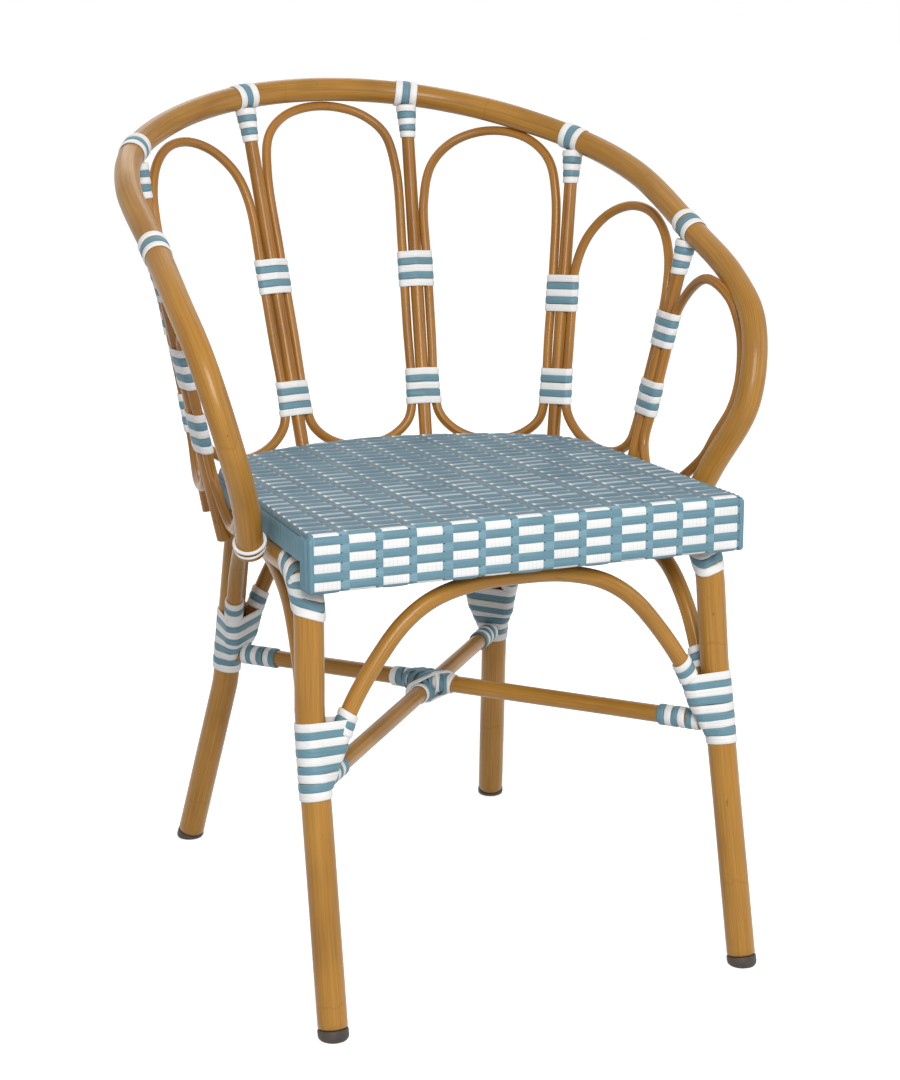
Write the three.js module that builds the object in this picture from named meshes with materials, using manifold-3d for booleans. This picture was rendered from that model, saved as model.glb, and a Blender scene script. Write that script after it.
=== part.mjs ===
// Rattan bistro armchair: bent poles, petal back, woven seat, bound joints.
// Millimetres, +Z up, the sitter faces -Y, the origin lies on the floor under the middle.

import * as THREE from 'three';
import { mergeVertices } from 'three/addons/utils/BufferGeometryUtils.js';
import Module from 'manifold-3d';

const wasm = await Module();
wasm.setup();

// Driving dimensions: poles and rods
const poleRadius = 13.75;
const hoopRadius = 12.5;
const spindleRadius = 7;
const petalRadius = 5;
const archRadius = 8;
const stretcherRadius = 8.5;
const clearance = 0.3;

// Driving dimensions: woven seat
const seatHeight = 455;
const seatHalfWidth = 205;
const seatFrontFlare = 10;
const seatFront = -263.5;
const seatRear = 146;
const seatCornerRadius = 100;
const seatRearRadius = 300;
const seatFrontCornerRadius = 9;
const seatEdgeRound = 4;
const panelThickness = 28.5;
const apronHeight = 52;
const apronThickness = 20;
const weaveThickness = 3.5;
const frameWidth = 24;
const crossBarWidth = 42;
const crossBarThickness = 12;
const crossBarShares = [-0.35, 0.2];

// Driving dimensions: back hoop
const hoopRise = 355.5;
const hoopSpread = 77;
const hoopOverhang = 147.6;
const armReachShare = 0.7032;
const hoopTipShare = 0.5085;

// Driving dimensions: legs, arches and stretchers
const frontFootSpread = 4;
const frontFootReach = 30.5;
const frontKneeSpread = 0.4;
const frontKneeInset = 32;
const frontKneeHeightShare = 0.633;
const shoulderInset = 4;
const shoulderBack = 41.5;
const rearFootInset = 23;
const rearFootReach = 103;
const rearKneeInset = 48.4;
const rearKneeReach = 36.4;
const rearKneeHeightShare = 0.4308;
const kneeEase = 8;
const frontBend = 48;
const capLength = 9;
const capSpigotRadius = 5;
const capSpigotLength = 14;
const capEdge = 3;
const archFootShare = 0.5396;
const archDrop = 3;
const stretcherShare = 0.4868;
const stretcherStep = 7.5;
const dowelRadius = 5;
const dowelLength = 14;

// Driving dimensions: bindings
const stripWidth = 7.4;
const stripThickness = 1.4;
const stripPitch = 8;
const stripLift = 0.85;
const midTurns = 5;
const upperBindingShares = [0.467, 0.3994, 0.3263];
const lowerBindingShares = [0.1238, 0.1266, 0.1505];
const spindleWrapTurns = 4;
const legWrapTurns = 5;
const rearLegWrapTurns = 5;
const stretcherWrapTurns = 3;
const cornerWrapTurns = 4;
const crossingWrapTurns = 2;
const cordRadius = 1.2;
const cordTurns = 2;
const cordPitch = 3;

// Places derived from the dimensions above
const panelBottom = seatHeight - panelThickness;
const ringHeight = panelBottom - clearance - poleRadius;
const apronBottom = seatHeight - apronHeight;
const seatFrontHalfWidth = seatHalfWidth + seatFrontFlare;
const hoopHalfWidth = seatHalfWidth + hoopSpread;
const hoopRear = seatRear + hoopOverhang;
const armReach = -seatFront * armReachShare;
const hoopTipReach = -seatFront * hoopTipShare;
const archFoot = seatHeight * archFootShare;
const archCrown = apronBottom - archDrop;
const stretcherLow = seatHeight * stretcherShare;
const stretcherHigh = stretcherLow + stretcherStep;
const bindingHeight = (share) => seatHeight + share * hoopRise;
const rodSpacing = spindleRadius + petalRadius + 2 * clearance;

// Facets
const poleSides = 10;
const rodSides = 7;
const capSides = 12;

// Materials
const rattan = new THREE.MeshStandardMaterial({ color: 0xa87a3e, roughness: 0.42, metalness: 0 });
const rattanDark = new THREE.MeshStandardMaterial({ color: 0x8c5f37, roughness: 0.5, metalness: 0 });
const tealStrip = new THREE.MeshStandardMaterial({ color: 0x5f96a5, roughness: 0.5, metalness: 0 });
const whiteStrip = new THREE.MeshStandardMaterial({ color: 0xf0eef2, roughness: 0.5, metalness: 0 });
const blackPlastic = new THREE.MeshStandardMaterial({ color: 0x2d2d30, roughness: 0.6, metalness: 0 });
const frameWood = new THREE.MeshStandardMaterial({ color: 0xc8a878, roughness: 0.7, metalness: 0 });

const chair = new THREE.Group();
const up = new THREE.Vector3(0, 0, 1);
const sides = [['left', -1], ['right', 1]];

function addPiece(name, geometry, material) {
  const mesh = new THREE.Mesh(geometry, material);
  mesh.name = name;
  chair.add(mesh);
}

// Solids
function toSolid(geometry) {
  const bare = geometry.index ? geometry.toNonIndexed() : geometry.clone();
  bare.deleteAttribute('normal');
  bare.deleteAttribute('uv');
  const merged = mergeVertices(bare);
  return new wasm.Manifold(new wasm.Mesh({
    numProp: 3,
    vertProperties: merged.attributes.position.array,
    triVerts: new Uint32Array(merged.index.array),
  }));
}

function toGeometry(solid) {
  const mesh = solid.getMesh();
  const geometry = new THREE.BufferGeometry();
  geometry.setAttribute('position', new THREE.BufferAttribute(new Float32Array(mesh.vertProperties), 3));
  geometry.setIndex(new THREE.BufferAttribute(new Uint32Array(mesh.triVerts), 1));
  return geometry;
}

// Curves
const point = (x, y, z) => new THREE.Vector3(x, y, z);
const mix = (a, b, share) => a.clone().lerp(b, share);
const mirrored = (p) => point(-p.x, p.y, p.z);
const sided = (p, side) => point(side * p.x, p.y, p.z);
const spline = (points, closed) => new THREE.CatmullRomCurve3(points, closed, 'centripetal');

function symmetricSpline(half) {
  return spline([...half.slice(1).reverse().map(mirrored), ...half], false);
}

// Share of the way to the corner that makes a bend nearly circular
const roundnessShare = 0.55;

// Straight runs joined by eased corners, as a pole is bent over a former
function bentPoints(corners, eases, bendSteps) {
  const points = [corners[0]];
  for (let i = 1; i < corners.length - 1; i += 1) {
    const corner = corners[i];
    const bendStart = corners[i - 1].clone().sub(corner).setLength(eases[i - 1]).add(corner);
    const bendEnd = corners[i + 1].clone().sub(corner).setLength(eases[i - 1]).add(corner);
    const guides = [mix(bendStart, corner, roundnessShare), mix(bendEnd, corner, roundnessShare)];
    points.push(...new THREE.CubicBezierCurve3(bendStart, ...guides, bendEnd).getPoints(bendSteps[i - 1]));
  }
  points.push(corners[corners.length - 1]);
  return points;
}

// One closed skin over rings of equal count, each ring turning about the direction of travel
function skinned(rings) {
  const count = rings[0].length;
  const last = count * (rings.length - 1);
  const index = [];
  for (let i = 0; i < last; i += count) {
    for (let k = 0; k < count; k += 1) {
      const a = i + k;
      const b = i + ((k + 1) % count);
      index.push(a, b, a + count, b, b + count, a + count);
    }
  }
  for (let k = 1; k < count - 1; k += 1) {
    index.push(0, k + 1, k);
    index.push(last, last + k, last + k + 1);
  }
  const position = rings.flat().flatMap((corner) => corner.toArray());
  const geometry = new THREE.BufferGeometry();
  geometry.setAttribute('position', new THREE.Float32BufferAttribute(position, 3));
  geometry.setIndex(index);
  return geometry;
}

function tube(points, radius, count) {
  const runs = points.slice(1).map((p, i) => p.clone().sub(points[i]).normalize());
  let outward = point(1, 0, 0);
  if (Math.abs(runs[0].x) > 1 / 2) outward = point(0, 0, 1);
  const rings = points.map((centre, i) => {
    const into = runs[Math.max(i - 1, 0)];
    const out = runs[Math.min(i, runs.length - 1)];
    const along = into.clone().add(out).normalize();
    outward = outward.clone().addScaledVector(along, -outward.dot(along)).normalize();
    return Array.from({ length: count }, (_, k) => {
      const spoke = outward.clone().applyAxisAngle(along, (k / count) * 2 * Math.PI);
      return centre.clone().addScaledVector(spoke, radius);
    });
  });
  return skinned(rings);
}

const pole = (path, radius, steps, count) => tube(path.getSpacedPoints(steps), radius, count);
const straightPole = (from, to, radius, count) => tube([from, to], radius, count);

// Seat ring: the front legs' poles bend back into its sides, a bent rail closes the rear.
// Shares of the seat's half width and of its rear depth.
const ringShares = [
  [0, 0.966], [0.317, 0.935], [0.61, 0.85], [0.861, 0.677], [0.946, 0.31], [0.956, -0.116], [0.961, -0.411],
];
const ringHalf = ringShares.map(([x, y]) => point(x * seatHalfWidth, y * seatRear, ringHeight));
const ringRear = symmetricSpline(ringHalf);
const ringEnd = ringHalf[ringHalf.length - 1];

// Place on the right half of a symmetric line, as a share of its knots from the middle
const onHalf = (share) => (1 + share) / 2;

function ringSeat(share) {
  const along = ringRear.getTangent(onHalf(share));
  return { centre: ringRear.getPoint(onHalf(share)), outward: point(-along.y, along.x, 0).normalize() };
}

// Back hoop: shares of its half width, of its reach behind or before the middle, and of its rise
const backKnotShares = [[0, 1, 1], [0.327, 0.954, 0.983], [0.624, 0.804, 0.934], [0.859, 0.572, 0.857], [0.967, 0.281, 0.772]];
const armKnotShares = [[0.988, -0.16, 0.636], [1, -0.609, 0.523], [0.985, -0.882, 0.409], [0.926, -1, 0.206], [0.845, -0.861, 0.02]];
const hoopTip = point(ringEnd.x + poleRadius + hoopRadius + 2 * (cordRadius + clearance), -hoopTipReach, ringHeight);
const hoopHalf = [
  ...backKnotShares.map(([x, y, z]) => point(x * hoopHalfWidth, y * hoopRear, seatHeight + z * hoopRise)),
  ...armKnotShares.map(([x, y, z]) => point(x * hoopHalfWidth, y * armReach, seatHeight + z * hoopRise)),
  hoopTip,
];
const hoopPath = symmetricSpline(hoopHalf);
const hoopSteps = 52;
const spindleTopShares = [0.1, 0.3, 0.5];
const spindleFootShares = [0.1667, 0.5, 0.8333];

// Spindles: straight lines from the outside of the ring to the hoop, listed from the left arm round
function spindleLine(order) {
  const seat = ringSeat(spindleFootShares[order]);
  const top = hoopPath.getPoint(onHalf(spindleTopShares[order]));
  const lean = top.clone().sub(seat.centre).normalize().angleTo(up);
  const offset = (poleRadius + spindleRadius + clearance) / Math.cos(lean);
  const atRing = seat.centre.clone().addScaledVector(seat.outward, offset);
  const direction = top.clone().sub(atRing).normalize();
  const foot = atRing.clone().addScaledVector(direction, -poleRadius);
  return { foot, top, direction };
}

function sidedLine(line, side) {
  return { foot: sided(line.foot, side), top: sided(line.top, side), direction: sided(line.direction, side) };
}

const halfLines = [0, 1, 2].map(spindleLine);
const spindleLines = [
  sidedLine(halfLines[2], -1), sidedLine(halfLines[1], -1), sidedLine(halfLines[0], -1),
  halfLines[0], halfLines[1], halfLines[2],
];
const heightShare = (line, height) => (height - line.foot.z) / (line.top.z - line.foot.z);

// Petals: closed loops on the bowed surface between two neighbouring spindles
const petalFloorDrop = 12;
const petalLowBow = 8;
const petalTopBow = 21;
const petalFloor = seatHeight - petalFloorDrop;
const petalLowDepth = 42;
const petalArcPoints = 7;
const petalSidePoints = 3;
const petalSteps = 30;
const petalArcEase = 1.4;

function betweenLines(left, right, share, offset) {
  const a = mix(left.foot, left.top, share);
  const b = mix(right.foot, right.top, share);
  const across = b.clone().sub(a);
  const half = across.length() / 2;
  const outward = left.direction.clone().add(right.direction).cross(across).normalize();
  const place = offset / half;
  const bow = petalLowBow + (petalTopBow - petalLowBow) * share;
  return mix(a, b, (place + 1) / 2).addScaledVector(outward, bow * (1 - place * place));
}

function halfGap(left, right, share) {
  return mix(left.foot, left.top, share).distanceTo(mix(right.foot, right.top, share)) / 2 - rodSpacing;
}

function petalCurve(left, right, topShare, skew, crown) {
  const run = mix(left.foot, right.foot, 0.5).distanceTo(mix(left.top, right.top, 0.5));
  const floorShare = (heightShare(left, petalFloor) + heightShare(right, petalFloor)) / 2;
  const topWidth = halfGap(left, right, topShare - halfGap(left, right, topShare) / run);
  const topStart = topShare - topWidth / run;
  const lowStart = floorShare + petalLowDepth / run;
  const lowWidth = halfGap(left, right, lowStart);
  const points = [];
  for (let i = 0; i < petalSidePoints; i += 1) {
    const share = lowStart + (topStart - skew - lowStart) * (i / petalSidePoints);
    points.push(betweenLines(left, right, share, -halfGap(left, right, share)));
  }
  for (let i = 0; i <= petalArcPoints; i += 1) {
    const turn = Math.PI * (i / petalArcPoints);
    const share = topStart + (topWidth / run) * Math.max(Math.sin(turn), 0) ** crown - skew * Math.cos(turn);
    points.push(betweenLines(left, right, share, -(topWidth - petalArcEase) * Math.cos(turn)));
  }
  for (let i = petalSidePoints - 1; i >= 1; i -= 1) {
    const share = lowStart + (topStart + skew - lowStart) * (i / petalSidePoints);
    points.push(betweenLines(left, right, share, halfGap(left, right, share)));
  }
  for (let i = 0; i < petalArcPoints; i += 1) {
    const turn = Math.PI * (i / petalArcPoints);
    const share = lowStart - (petalLowDepth / run) * Math.sin(turn);
    points.push(betweenLines(left, right, share, lowWidth * Math.cos(turn)));
  }
  return spline(points, true);
}

// Arm petals: one side follows the outermost spindle, the other the inside of the hoop's arm
const armSideShares = [0.22, 0.36, 0.54, 0.71];
const armTopShares = [0.929, -0.5235, 0.512];
const armFloorEase = 4;
const armFloorDrop = 2.5;
const armFloorReachShare = 0.5224;
const armPetalTop = point(
  armTopShares[0] * hoopHalfWidth,
  armTopShares[1] * armReach,
  seatHeight + armTopShares[2] * hoopRise,
);
const armPetalFloor = point(
  seatFrontHalfWidth + petalRadius + armFloorEase,
  -armFloorReachShare * hoopTipReach,
  panelBottom - armFloorDrop,
);
const armHugShares = [0.69, 0.91];
const armHugPoints = 6;
const armSideEases = [2, 0.8, 0.8, 3];
const armHugEase = 2.4;

function armPetalCurve(line) {
  const hugSpacing = hoopRadius + petalRadius + armHugEase;
  const points = [];
  const forward = point(0, -1, 0).addScaledVector(line.direction, line.direction.y).normalize();
  armSideShares.forEach((share, i) => {
    points.push(mix(line.foot, line.top, share).addScaledVector(forward, rodSpacing + armSideEases[i]));
  });
  points.push(armPetalTop);
  for (let i = 0; i < armHugPoints; i += 1) {
    const share = armHugShares[0] + (armHugShares[1] - armHugShares[0]) * (i / (armHugPoints - 1));
    const centre = hoopPath.getPoint(onHalf(share));
    const along = hoopPath.getTangent(onHalf(share));
    const inward = mix(line.foot, line.top, 0.5).sub(centre);
    inward.addScaledVector(along, -inward.dot(along)).normalize();
    points.push(centre.addScaledVector(inward, hugSpacing));
  }
  points.push(armPetalFloor);
  return spline(points, true);
}

// Legs
function footAxis(foot, knee) {
  return knee.clone().sub(foot).normalize();
}

function legStart(foot, knee) {
  return foot.clone().addScaledVector(footAxis(foot, knee), capLength + clearance);
}

const frontFoot = point(seatHalfWidth + frontFootSpread, seatFront - frontFootReach, 0);
const frontKnee = point(
  seatHalfWidth + frontKneeSpread,
  seatFront + frontKneeInset,
  seatHeight * frontKneeHeightShare,
);
const shoulder = point(seatHalfWidth - shoulderInset, seatFront + shoulderBack, ringHeight);
const rearFoot = point(seatHalfWidth - rearFootInset, seatRear + rearFootReach, 0);
const rearKnee = point(
  seatHalfWidth - rearKneeInset,
  seatRear + rearKneeReach,
  seatHeight * rearKneeHeightShare,
);
const kneeSteps = 2;
const shoulderSteps = 7;
const frontCorners = [legStart(frontFoot, frontKnee), frontKnee, shoulder, ringEnd];
const frontPoints = bentPoints(frontCorners, [kneeEase, frontBend], [kneeSteps, shoulderSteps]);

const rearLegShare = 0.3667;
const rearLegSeat = ringSeat(rearLegShare);
const rearLegTop = rearLegSeat.centre.clone().addScaledVector(rearLegSeat.outward, 2 * poleRadius + 2 * clearance);
rearLegTop.addScaledVector(rearLegTop.clone().sub(rearKnee).normalize(), poleRadius - clearance);
const rearPoints = bentPoints([legStart(rearFoot, rearKnee), rearKnee, rearLegTop], [kneeEase], [kneeSteps]);

// Centre of a leg's straight run at a height
const onLine = (low, high, height) => mix(low, high, (height - low.z) / (high.z - low.z));
const frontLegAt = (height) => onLine(frontPoints[0], frontKnee, height);
const rearLegAt = (height) => onLine(rearKnee, rearLegTop, height);

function boredLeg(points, foot, knee, side, railBore) {
  const axis = sided(footAxis(foot, knee), side);
  const start = sided(legStart(foot, knee), side);
  const boreTop = start.clone().addScaledVector(axis, capSpigotLength + clearance);
  const boreStart = start.clone().addScaledVector(axis, -capLength / 2);
  let solid = toSolid(tube(points.map((p) => sided(p, side)), poleRadius, poleSides));
  solid = solid.subtract(toSolid(straightPole(boreStart, boreTop, capSpigotRadius + clearance, rodSides)));
  if (railBore) solid = solid.subtract(railBore);
  return toGeometry(solid);
}

// Dowel of the rear rail that enters the side rail's end
function railDowel(side, radius, length) {
  const along = point(0, -1, 0);
  const start = sided(ringEnd, side).addScaledVector(along, -poleRadius);
  return toSolid(straightPole(start, sided(ringEnd, side).addScaledVector(along, length), radius, rodSides));
}

for (const [label, side] of sides) {
  const bore = railDowel(side, dowelRadius + clearance, dowelLength + 2 * clearance);
  addPiece(`front_leg_${label}`, boredLeg(frontPoints, frontFoot, frontKnee, side, bore), rattan);
  addPiece(`rear_leg_${label}`, boredLeg(rearPoints, rearFoot, rearKnee, side, null), rattan);
}

// Rear rail with a dowel at each end
const railSteps = 22;
const railShort = (2 * clearance) / ringRear.getLength();
const railPoints = [];
for (let i = 0; i <= railSteps; i += 1) {
  railPoints.push(ringRear.getPointAt(railShort + (1 - 2 * railShort) * (i / railSteps)));
}
let rearRail = toSolid(pole(spline(railPoints, false), poleRadius, railSteps, poleSides));
for (const [, side] of sides) rearRail = rearRail.add(railDowel(side, dowelRadius, dowelLength));
addPiece('rear_rail', toGeometry(rearRail), rattan);

// Foot caps: a disc square to the leg, flat on the floor, with a spigot in the leg's end
function footCap(foot, knee, side) {
  const axis = sided(footAxis(foot, knee), side);
  const base = sided(foot, side);
  const low = base.clone().addScaledVector(axis, -poleRadius);
  const high = base.clone().addScaledVector(axis, capLength);
  const tip = base.clone().addScaledVector(axis, capLength + clearance + capSpigotLength);
  const bowlProfile = [
    [0, 0], [poleRadius - capEdge, 0], [poleRadius + clearance, capEdge], [3 * poleRadius, capEdge],
    [3 * poleRadius, 3 * capSpigotLength], [0, 3 * capSpigotLength],
  ].map(([x, y]) => new THREE.Vector2(x, y));
  const bowl = new THREE.LatheGeometry(bowlProfile, capSides).rotateX(Math.PI / 2);
  bowl.translate(base.x, base.y, 0);
  const disc = toSolid(straightPole(low, high, poleRadius, poleSides));
  const spigot = toSolid(straightPole(base, tip, capSpigotRadius, rodSides));
  return toGeometry(disc.intersect(toSolid(bowl)).add(spigot.intersect(toSolid(bowl))));
}

for (const [label, side] of sides) {
  addPiece(`foot_cap_front_${label}`, footCap(frontFoot, frontKnee, side), blackPlastic);
  addPiece(`foot_cap_rear_${label}`, footCap(rearFoot, rearKnee, side), blackPlastic);
}

// Back hoop, spindles saddled under it, petals
addPiece('back_hoop', pole(hoopPath, hoopRadius, hoopSteps, poleSides), rattan);
const hoopCutter = toSolid(pole(hoopPath, hoopRadius + clearance, hoopSteps, poleSides));
spindleLines.forEach((line, i) => {
  const solid = toSolid(straightPole(line.foot, line.top, spindleRadius, rodSides));
  addPiece(`spindle_${i + 1}`, toGeometry(solid.subtract(hoopCutter)), rattan);
});

const armPetal = armPetalCurve(spindleLines[5]);
// Each petal's top, lean to one side, and roundness of its crown, where 1 is a half circle
const petalTopShares = [0.914, 0.96, 0.986, 0.97, 0.928];
const petalSkewShares = [-0.05, -0.03, 0, 0.05, 0.06];
const petalCrownShares = [1, 1, 0.75, 0.8, 1];
const petalCurves = [
  spline(armPetal.points.map(mirrored), true),
  ...petalTopShares.map((share, i) => (
    petalCurve(spindleLines[i], spindleLines[i + 1], share, petalSkewShares[i], petalCrownShares[i])
  )),
  armPetal,
];
petalCurves.forEach((curve, i) => {
  addPiece(`petal_${i + 1}`, new THREE.TubeGeometry(curve, petalSteps, petalRadius, rodSides, true), rattanDark);
});

// Legs grown by the clearance, to cut what is saddled on them
const legCutters = [-1, 1].flatMap((side) => [
  toSolid(tube(frontPoints.map((p) => sided(p, side)), poleRadius + clearance, poleSides)),
  toSolid(tube(rearPoints.map((p) => sided(p, side)), poleRadius + clearance, poleSides)),
]);
const betweenLegs = (solid) => legCutters.reduce((rest, leg) => rest.subtract(leg), solid);

// Arches: shares of the half gap between two legs and of the rise from the arch's foot to its crown
const crossShares = [[1, 0], [0.911, 0.29], [0.743, 0.608], [0.614, 0.788], [0.467, 0.908], [0.2625, 0.98], [0, 1]];
const alongShares = [[1, 0], [0.91, 0.36], [0.81, 0.6], [0.65, 0.82], [0.45, 0.93], [0.22, 0.985], [0, 1]];
const archSteps = 18;
const archNotch = 1;

function archCurve(legA, legB, shares, lean) {
  const footA = legA(archFoot);
  const footB = legB(archFoot);
  const across = footB.clone().sub(footA).setZ(0).normalize();
  const offset = poleRadius + archRadius - archNotch;
  footA.addScaledVector(across, offset);
  footB.addScaledVector(across, -offset);
  const middle = mix(footA, footB, 1 / 2);
  const half = footB.clone().sub(footA).multiplyScalar(1 / 2);
  const rise = point(0, lean, archCrown - archRadius - archFoot);
  const place = ([x, z], sign) => middle.clone().addScaledVector(half, sign * x).addScaledVector(rise, z);
  const first = shares.map((share) => place(share, -1));
  const second = shares.slice(0, -1).reverse().map((share) => place(share, 1));
  return spline([...first, ...second], false);
}

const legCentre = (at, side) => (height) => sided(at(height), side);
const frontLegs = [legCentre(frontLegAt, -1), legCentre(frontLegAt, 1)];
const rearLegs = [legCentre(rearLegAt, -1), legCentre(rearLegAt, 1)];
const archLean = 10;
const archCurves = {
  front_arch: archCurve(frontLegs[0], frontLegs[1], crossShares, archLean),
  rear_arch: archCurve(rearLegs[0], rearLegs[1], crossShares, -archLean),
  side_arch_left: archCurve(frontLegs[0], rearLegs[0], alongShares, 0),
  side_arch_right: archCurve(frontLegs[1], rearLegs[1], alongShares, 0),
};
for (const [name, curve] of Object.entries(archCurves)) {
  addPiece(name, toGeometry(betweenLegs(toSolid(pole(curve, archRadius, archSteps, rodSides)))), rattan);
}

// Crossed stretchers: ends saddled on the legs, the upper one saddled over the lower
function stretcherLine(height, side) {
  return [sided(frontLegAt(height), side), sided(rearLegAt(height), -side)];
}

const [lowFront, lowRear] = stretcherLine(stretcherLow, -1);
const [highFront, highRear] = stretcherLine(stretcherHigh, 1);
const stretcherSolid = (a, b, grow) => toSolid(straightPole(a, b, stretcherRadius + grow, poleSides));
addPiece('stretcher_lower', toGeometry(betweenLegs(stretcherSolid(lowFront, lowRear, 0))), rattan);
const saddled = stretcherSolid(highFront, highRear, 0).subtract(stretcherSolid(lowFront, lowRear, clearance));
addPiece('stretcher_upper', toGeometry(betweenLegs(saddled)), rattan);

// Woven seat: a cap over its frame, deep at the front
function seatOutline(inset) {
  const rearRadius = seatRearRadius - inset;
  const cornerRadius = seatCornerRadius - inset;
  const cornerX = seatHalfWidth - seatCornerRadius;
  const tilt = Math.asin(cornerX / (seatRearRadius - seatCornerRadius));
  const rearCentre = seatRear - seatRearRadius;
  const cornerY = rearCentre + (seatRearRadius - seatCornerRadius) * Math.cos(tilt);
  const frontX = seatFrontHalfWidth - seatFrontCornerRadius;
  const frontY = seatFront + seatFrontCornerRadius;
  const frontRadius = Math.max(seatFrontCornerRadius - inset, clearance);
  const quarter = Math.PI / 2;
  const outline = new THREE.Shape();
  outline.absarc(0, rearCentre, rearRadius, quarter - tilt, quarter + tilt, false);
  outline.absarc(-cornerX, cornerY, cornerRadius, quarter + tilt, 2 * quarter, false);
  outline.absarc(-frontX, frontY, frontRadius, 2 * quarter, 3 * quarter, false);
  outline.absarc(frontX, frontY, frontRadius, 3 * quarter, 4 * quarter, false);
  outline.absarc(cornerX, cornerY, cornerRadius, 0, quarter - tilt, false);
  return outline;
}

function apronOutline(inset) {
  const x = seatFrontHalfWidth - inset;
  const front = seatFront + inset;
  const back = seatFront + apronThickness - inset;
  const corner = Math.max(seatFrontCornerRadius - inset, clearance);
  const outline = new THREE.Shape();
  const quarter = Math.PI / 2;
  outline.absarc(x - corner, front + corner, corner, -quarter, 0, false);
  outline.lineTo(x, back);
  outline.lineTo(-x, back);
  outline.absarc(-x + corner, front + corner, corner, 2 * quarter, 3 * quarter, false);
  return outline;
}

const outlineSegments = 5;

function slab(outline, low, high) {
  const options = { depth: high - low, bevelEnabled: false, curveSegments: outlineSegments };
  return toSolid(new THREE.ExtrudeGeometry(outline, options).translate(0, 0, low));
}

function roundedSlab(outline, low, high) {
  const options = {
    depth: high - low - 2 * seatEdgeRound,
    bevelThickness: seatEdgeRound,
    bevelSize: seatEdgeRound,
    bevelOffset: -seatEdgeRound,
    bevelSegments: 2,
    curveSegments: outlineSegments,
  };
  return toSolid(new THREE.ExtrudeGeometry(outline, options).translate(0, 0, low + seatEdgeRound));
}

const overrun = 2;
const skinTop = seatHeight - weaveThickness;
const weave = roundedSlab(seatOutline(0), panelBottom, seatHeight)
  .add(roundedSlab(apronOutline(0), apronBottom, seatHeight))
  .subtract(slab(seatOutline(weaveThickness), panelBottom - overrun, skinTop))
  .subtract(slab(apronOutline(weaveThickness), apronBottom - overrun, skinTop));
addPiece('seat_weave', toGeometry(weave), tealStrip);

const frameInset = weaveThickness + clearance;
const frameTop = skinTop - clearance;
const frame = slab(seatOutline(frameInset), panelBottom, frameTop)
  .subtract(slab(seatOutline(frameInset + frameWidth), panelBottom - overrun, frameTop + overrun))
  .add(slab(apronOutline(frameInset), apronBottom, frameTop));
addPiece('seat_frame', toGeometry(frame), frameWood);

crossBarShares.forEach((share, i) => {
  const y = share * seatRear * 2;
  const bar = new THREE.BoxGeometry(2 * seatFrontHalfWidth, crossBarWidth, crossBarThickness);
  bar.translate(0, y, frameTop - crossBarThickness / 2);
  const well = slab(seatOutline(frameInset + frameWidth + clearance), panelBottom, frameTop);
  addPiece(`cross_bar_${i + 1}`, toGeometry(toSolid(bar).intersect(well)), frameWood);
});

// Bindings: one strip laid along stations of place, outward normal and width direction.
// A section lists its corners as shares of the width and of the thickness.
const crownedShares = [[-0.5, 0], [0.5, 0], [0, 1]];
const flatBandShares = [[-0.5, 0], [0.5, 0], [0.45, 1], [-0.45, 1]];

function stripGeometry(stations, section) {
  return skinned(stations.map(({ place, normal, along, width }) => section.map(([wide, thick]) => {
    const corner = place.clone().addScaledVector(along, wide * width);
    return corner.addScaledVector(normal, thick * stripThickness);
  })));
}

// Angles of one turn round a bundle of round sections: the middles of equal arcs on each round.
// bundle(travel) gives { across, along, rounds: [{ centre, radius }] } at a distance along it.
function farthest(rounds, normal) {
  const reach = (round) => round.centre.dot(normal) + round.radius;
  return rounds.reduce((best, round) => (reach(round) > reach(best) ? round : best));
}

function turnAngles({ across, along, rounds }, largestArc) {
  const samples = 360;
  const carrier = (angle) => farthest(rounds, across.clone().applyAxisAngle(along, angle));
  const angles = [];
  let arcStart = 0;
  let current = carrier(0);
  for (let i = 1; i <= samples; i += 1) {
    const angle = (i / samples) * 2 * Math.PI;
    const next = carrier(angle);
    if (next !== current || i === samples) {
      const parts = Math.ceil((angle - arcStart) / largestArc);
      for (let k = 1; k < 2 * parts; k += 2) angles.push(arcStart + ((angle - arcStart) * k) / (2 * parts));
      arcStart = angle;
      current = next;
    }
  }
  return angles;
}

function windStations(bundle, start, turns, angles, pitch, width) {
  const count = Math.round(turns * angles.length);
  const stations = [];
  for (let i = 0; i <= count; i += 1) {
    const angle = angles[i % angles.length];
    const turn = Math.floor(i / angles.length) + angle / (2 * Math.PI);
    const { across, along, rounds } = bundle(start + pitch * turn);
    const normal = across.clone().applyAxisAngle(along, angle);
    const { centre, radius } = farthest(rounds, normal);
    stations.push({ place: centre.clone().addScaledVector(normal, radius + stripLift), normal, along, width });
  }
  return stations;
}

function leastGap(stations, stepsPerTurn) {
  let least = Infinity;
  const edge = (s, sign) => s.place.clone().addScaledVector(s.along, (sign * s.width) / 2);
  for (let i = 0; i < stations.length; i += 1) {
    for (let j = i + stepsPerTurn - 2; j < stations.length; j += 1) {
      for (const [a, b] of [[-1, 1], [1, -1], [1, 1], [-1, -1]]) {
        least = Math.min(least, edge(stations[i], a).distanceTo(edge(stations[j], b)));
      }
    }
  }
  return least;
}

function wind(name, bundle, start, turns, angles, pitch = stripPitch, width = stripWidth) {
  const stations = windStations(bundle, start, turns, angles, pitch, width);
  console.log(`${name}: least gap to itself ${leastGap(stations, angles.length).toFixed(2)} mm`);
  return stripGeometry(stations, crownedShares);
}

const evenAngles = (count) => Array.from({ length: count }, (_, i) => (i / count) * 2 * Math.PI);
const fineTurn = THREE.MathUtils.degToRad(40);
const coarseTurn = THREE.MathUtils.degToRad(60);
const thinSteps = 7;
const thickSteps = 9;

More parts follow.
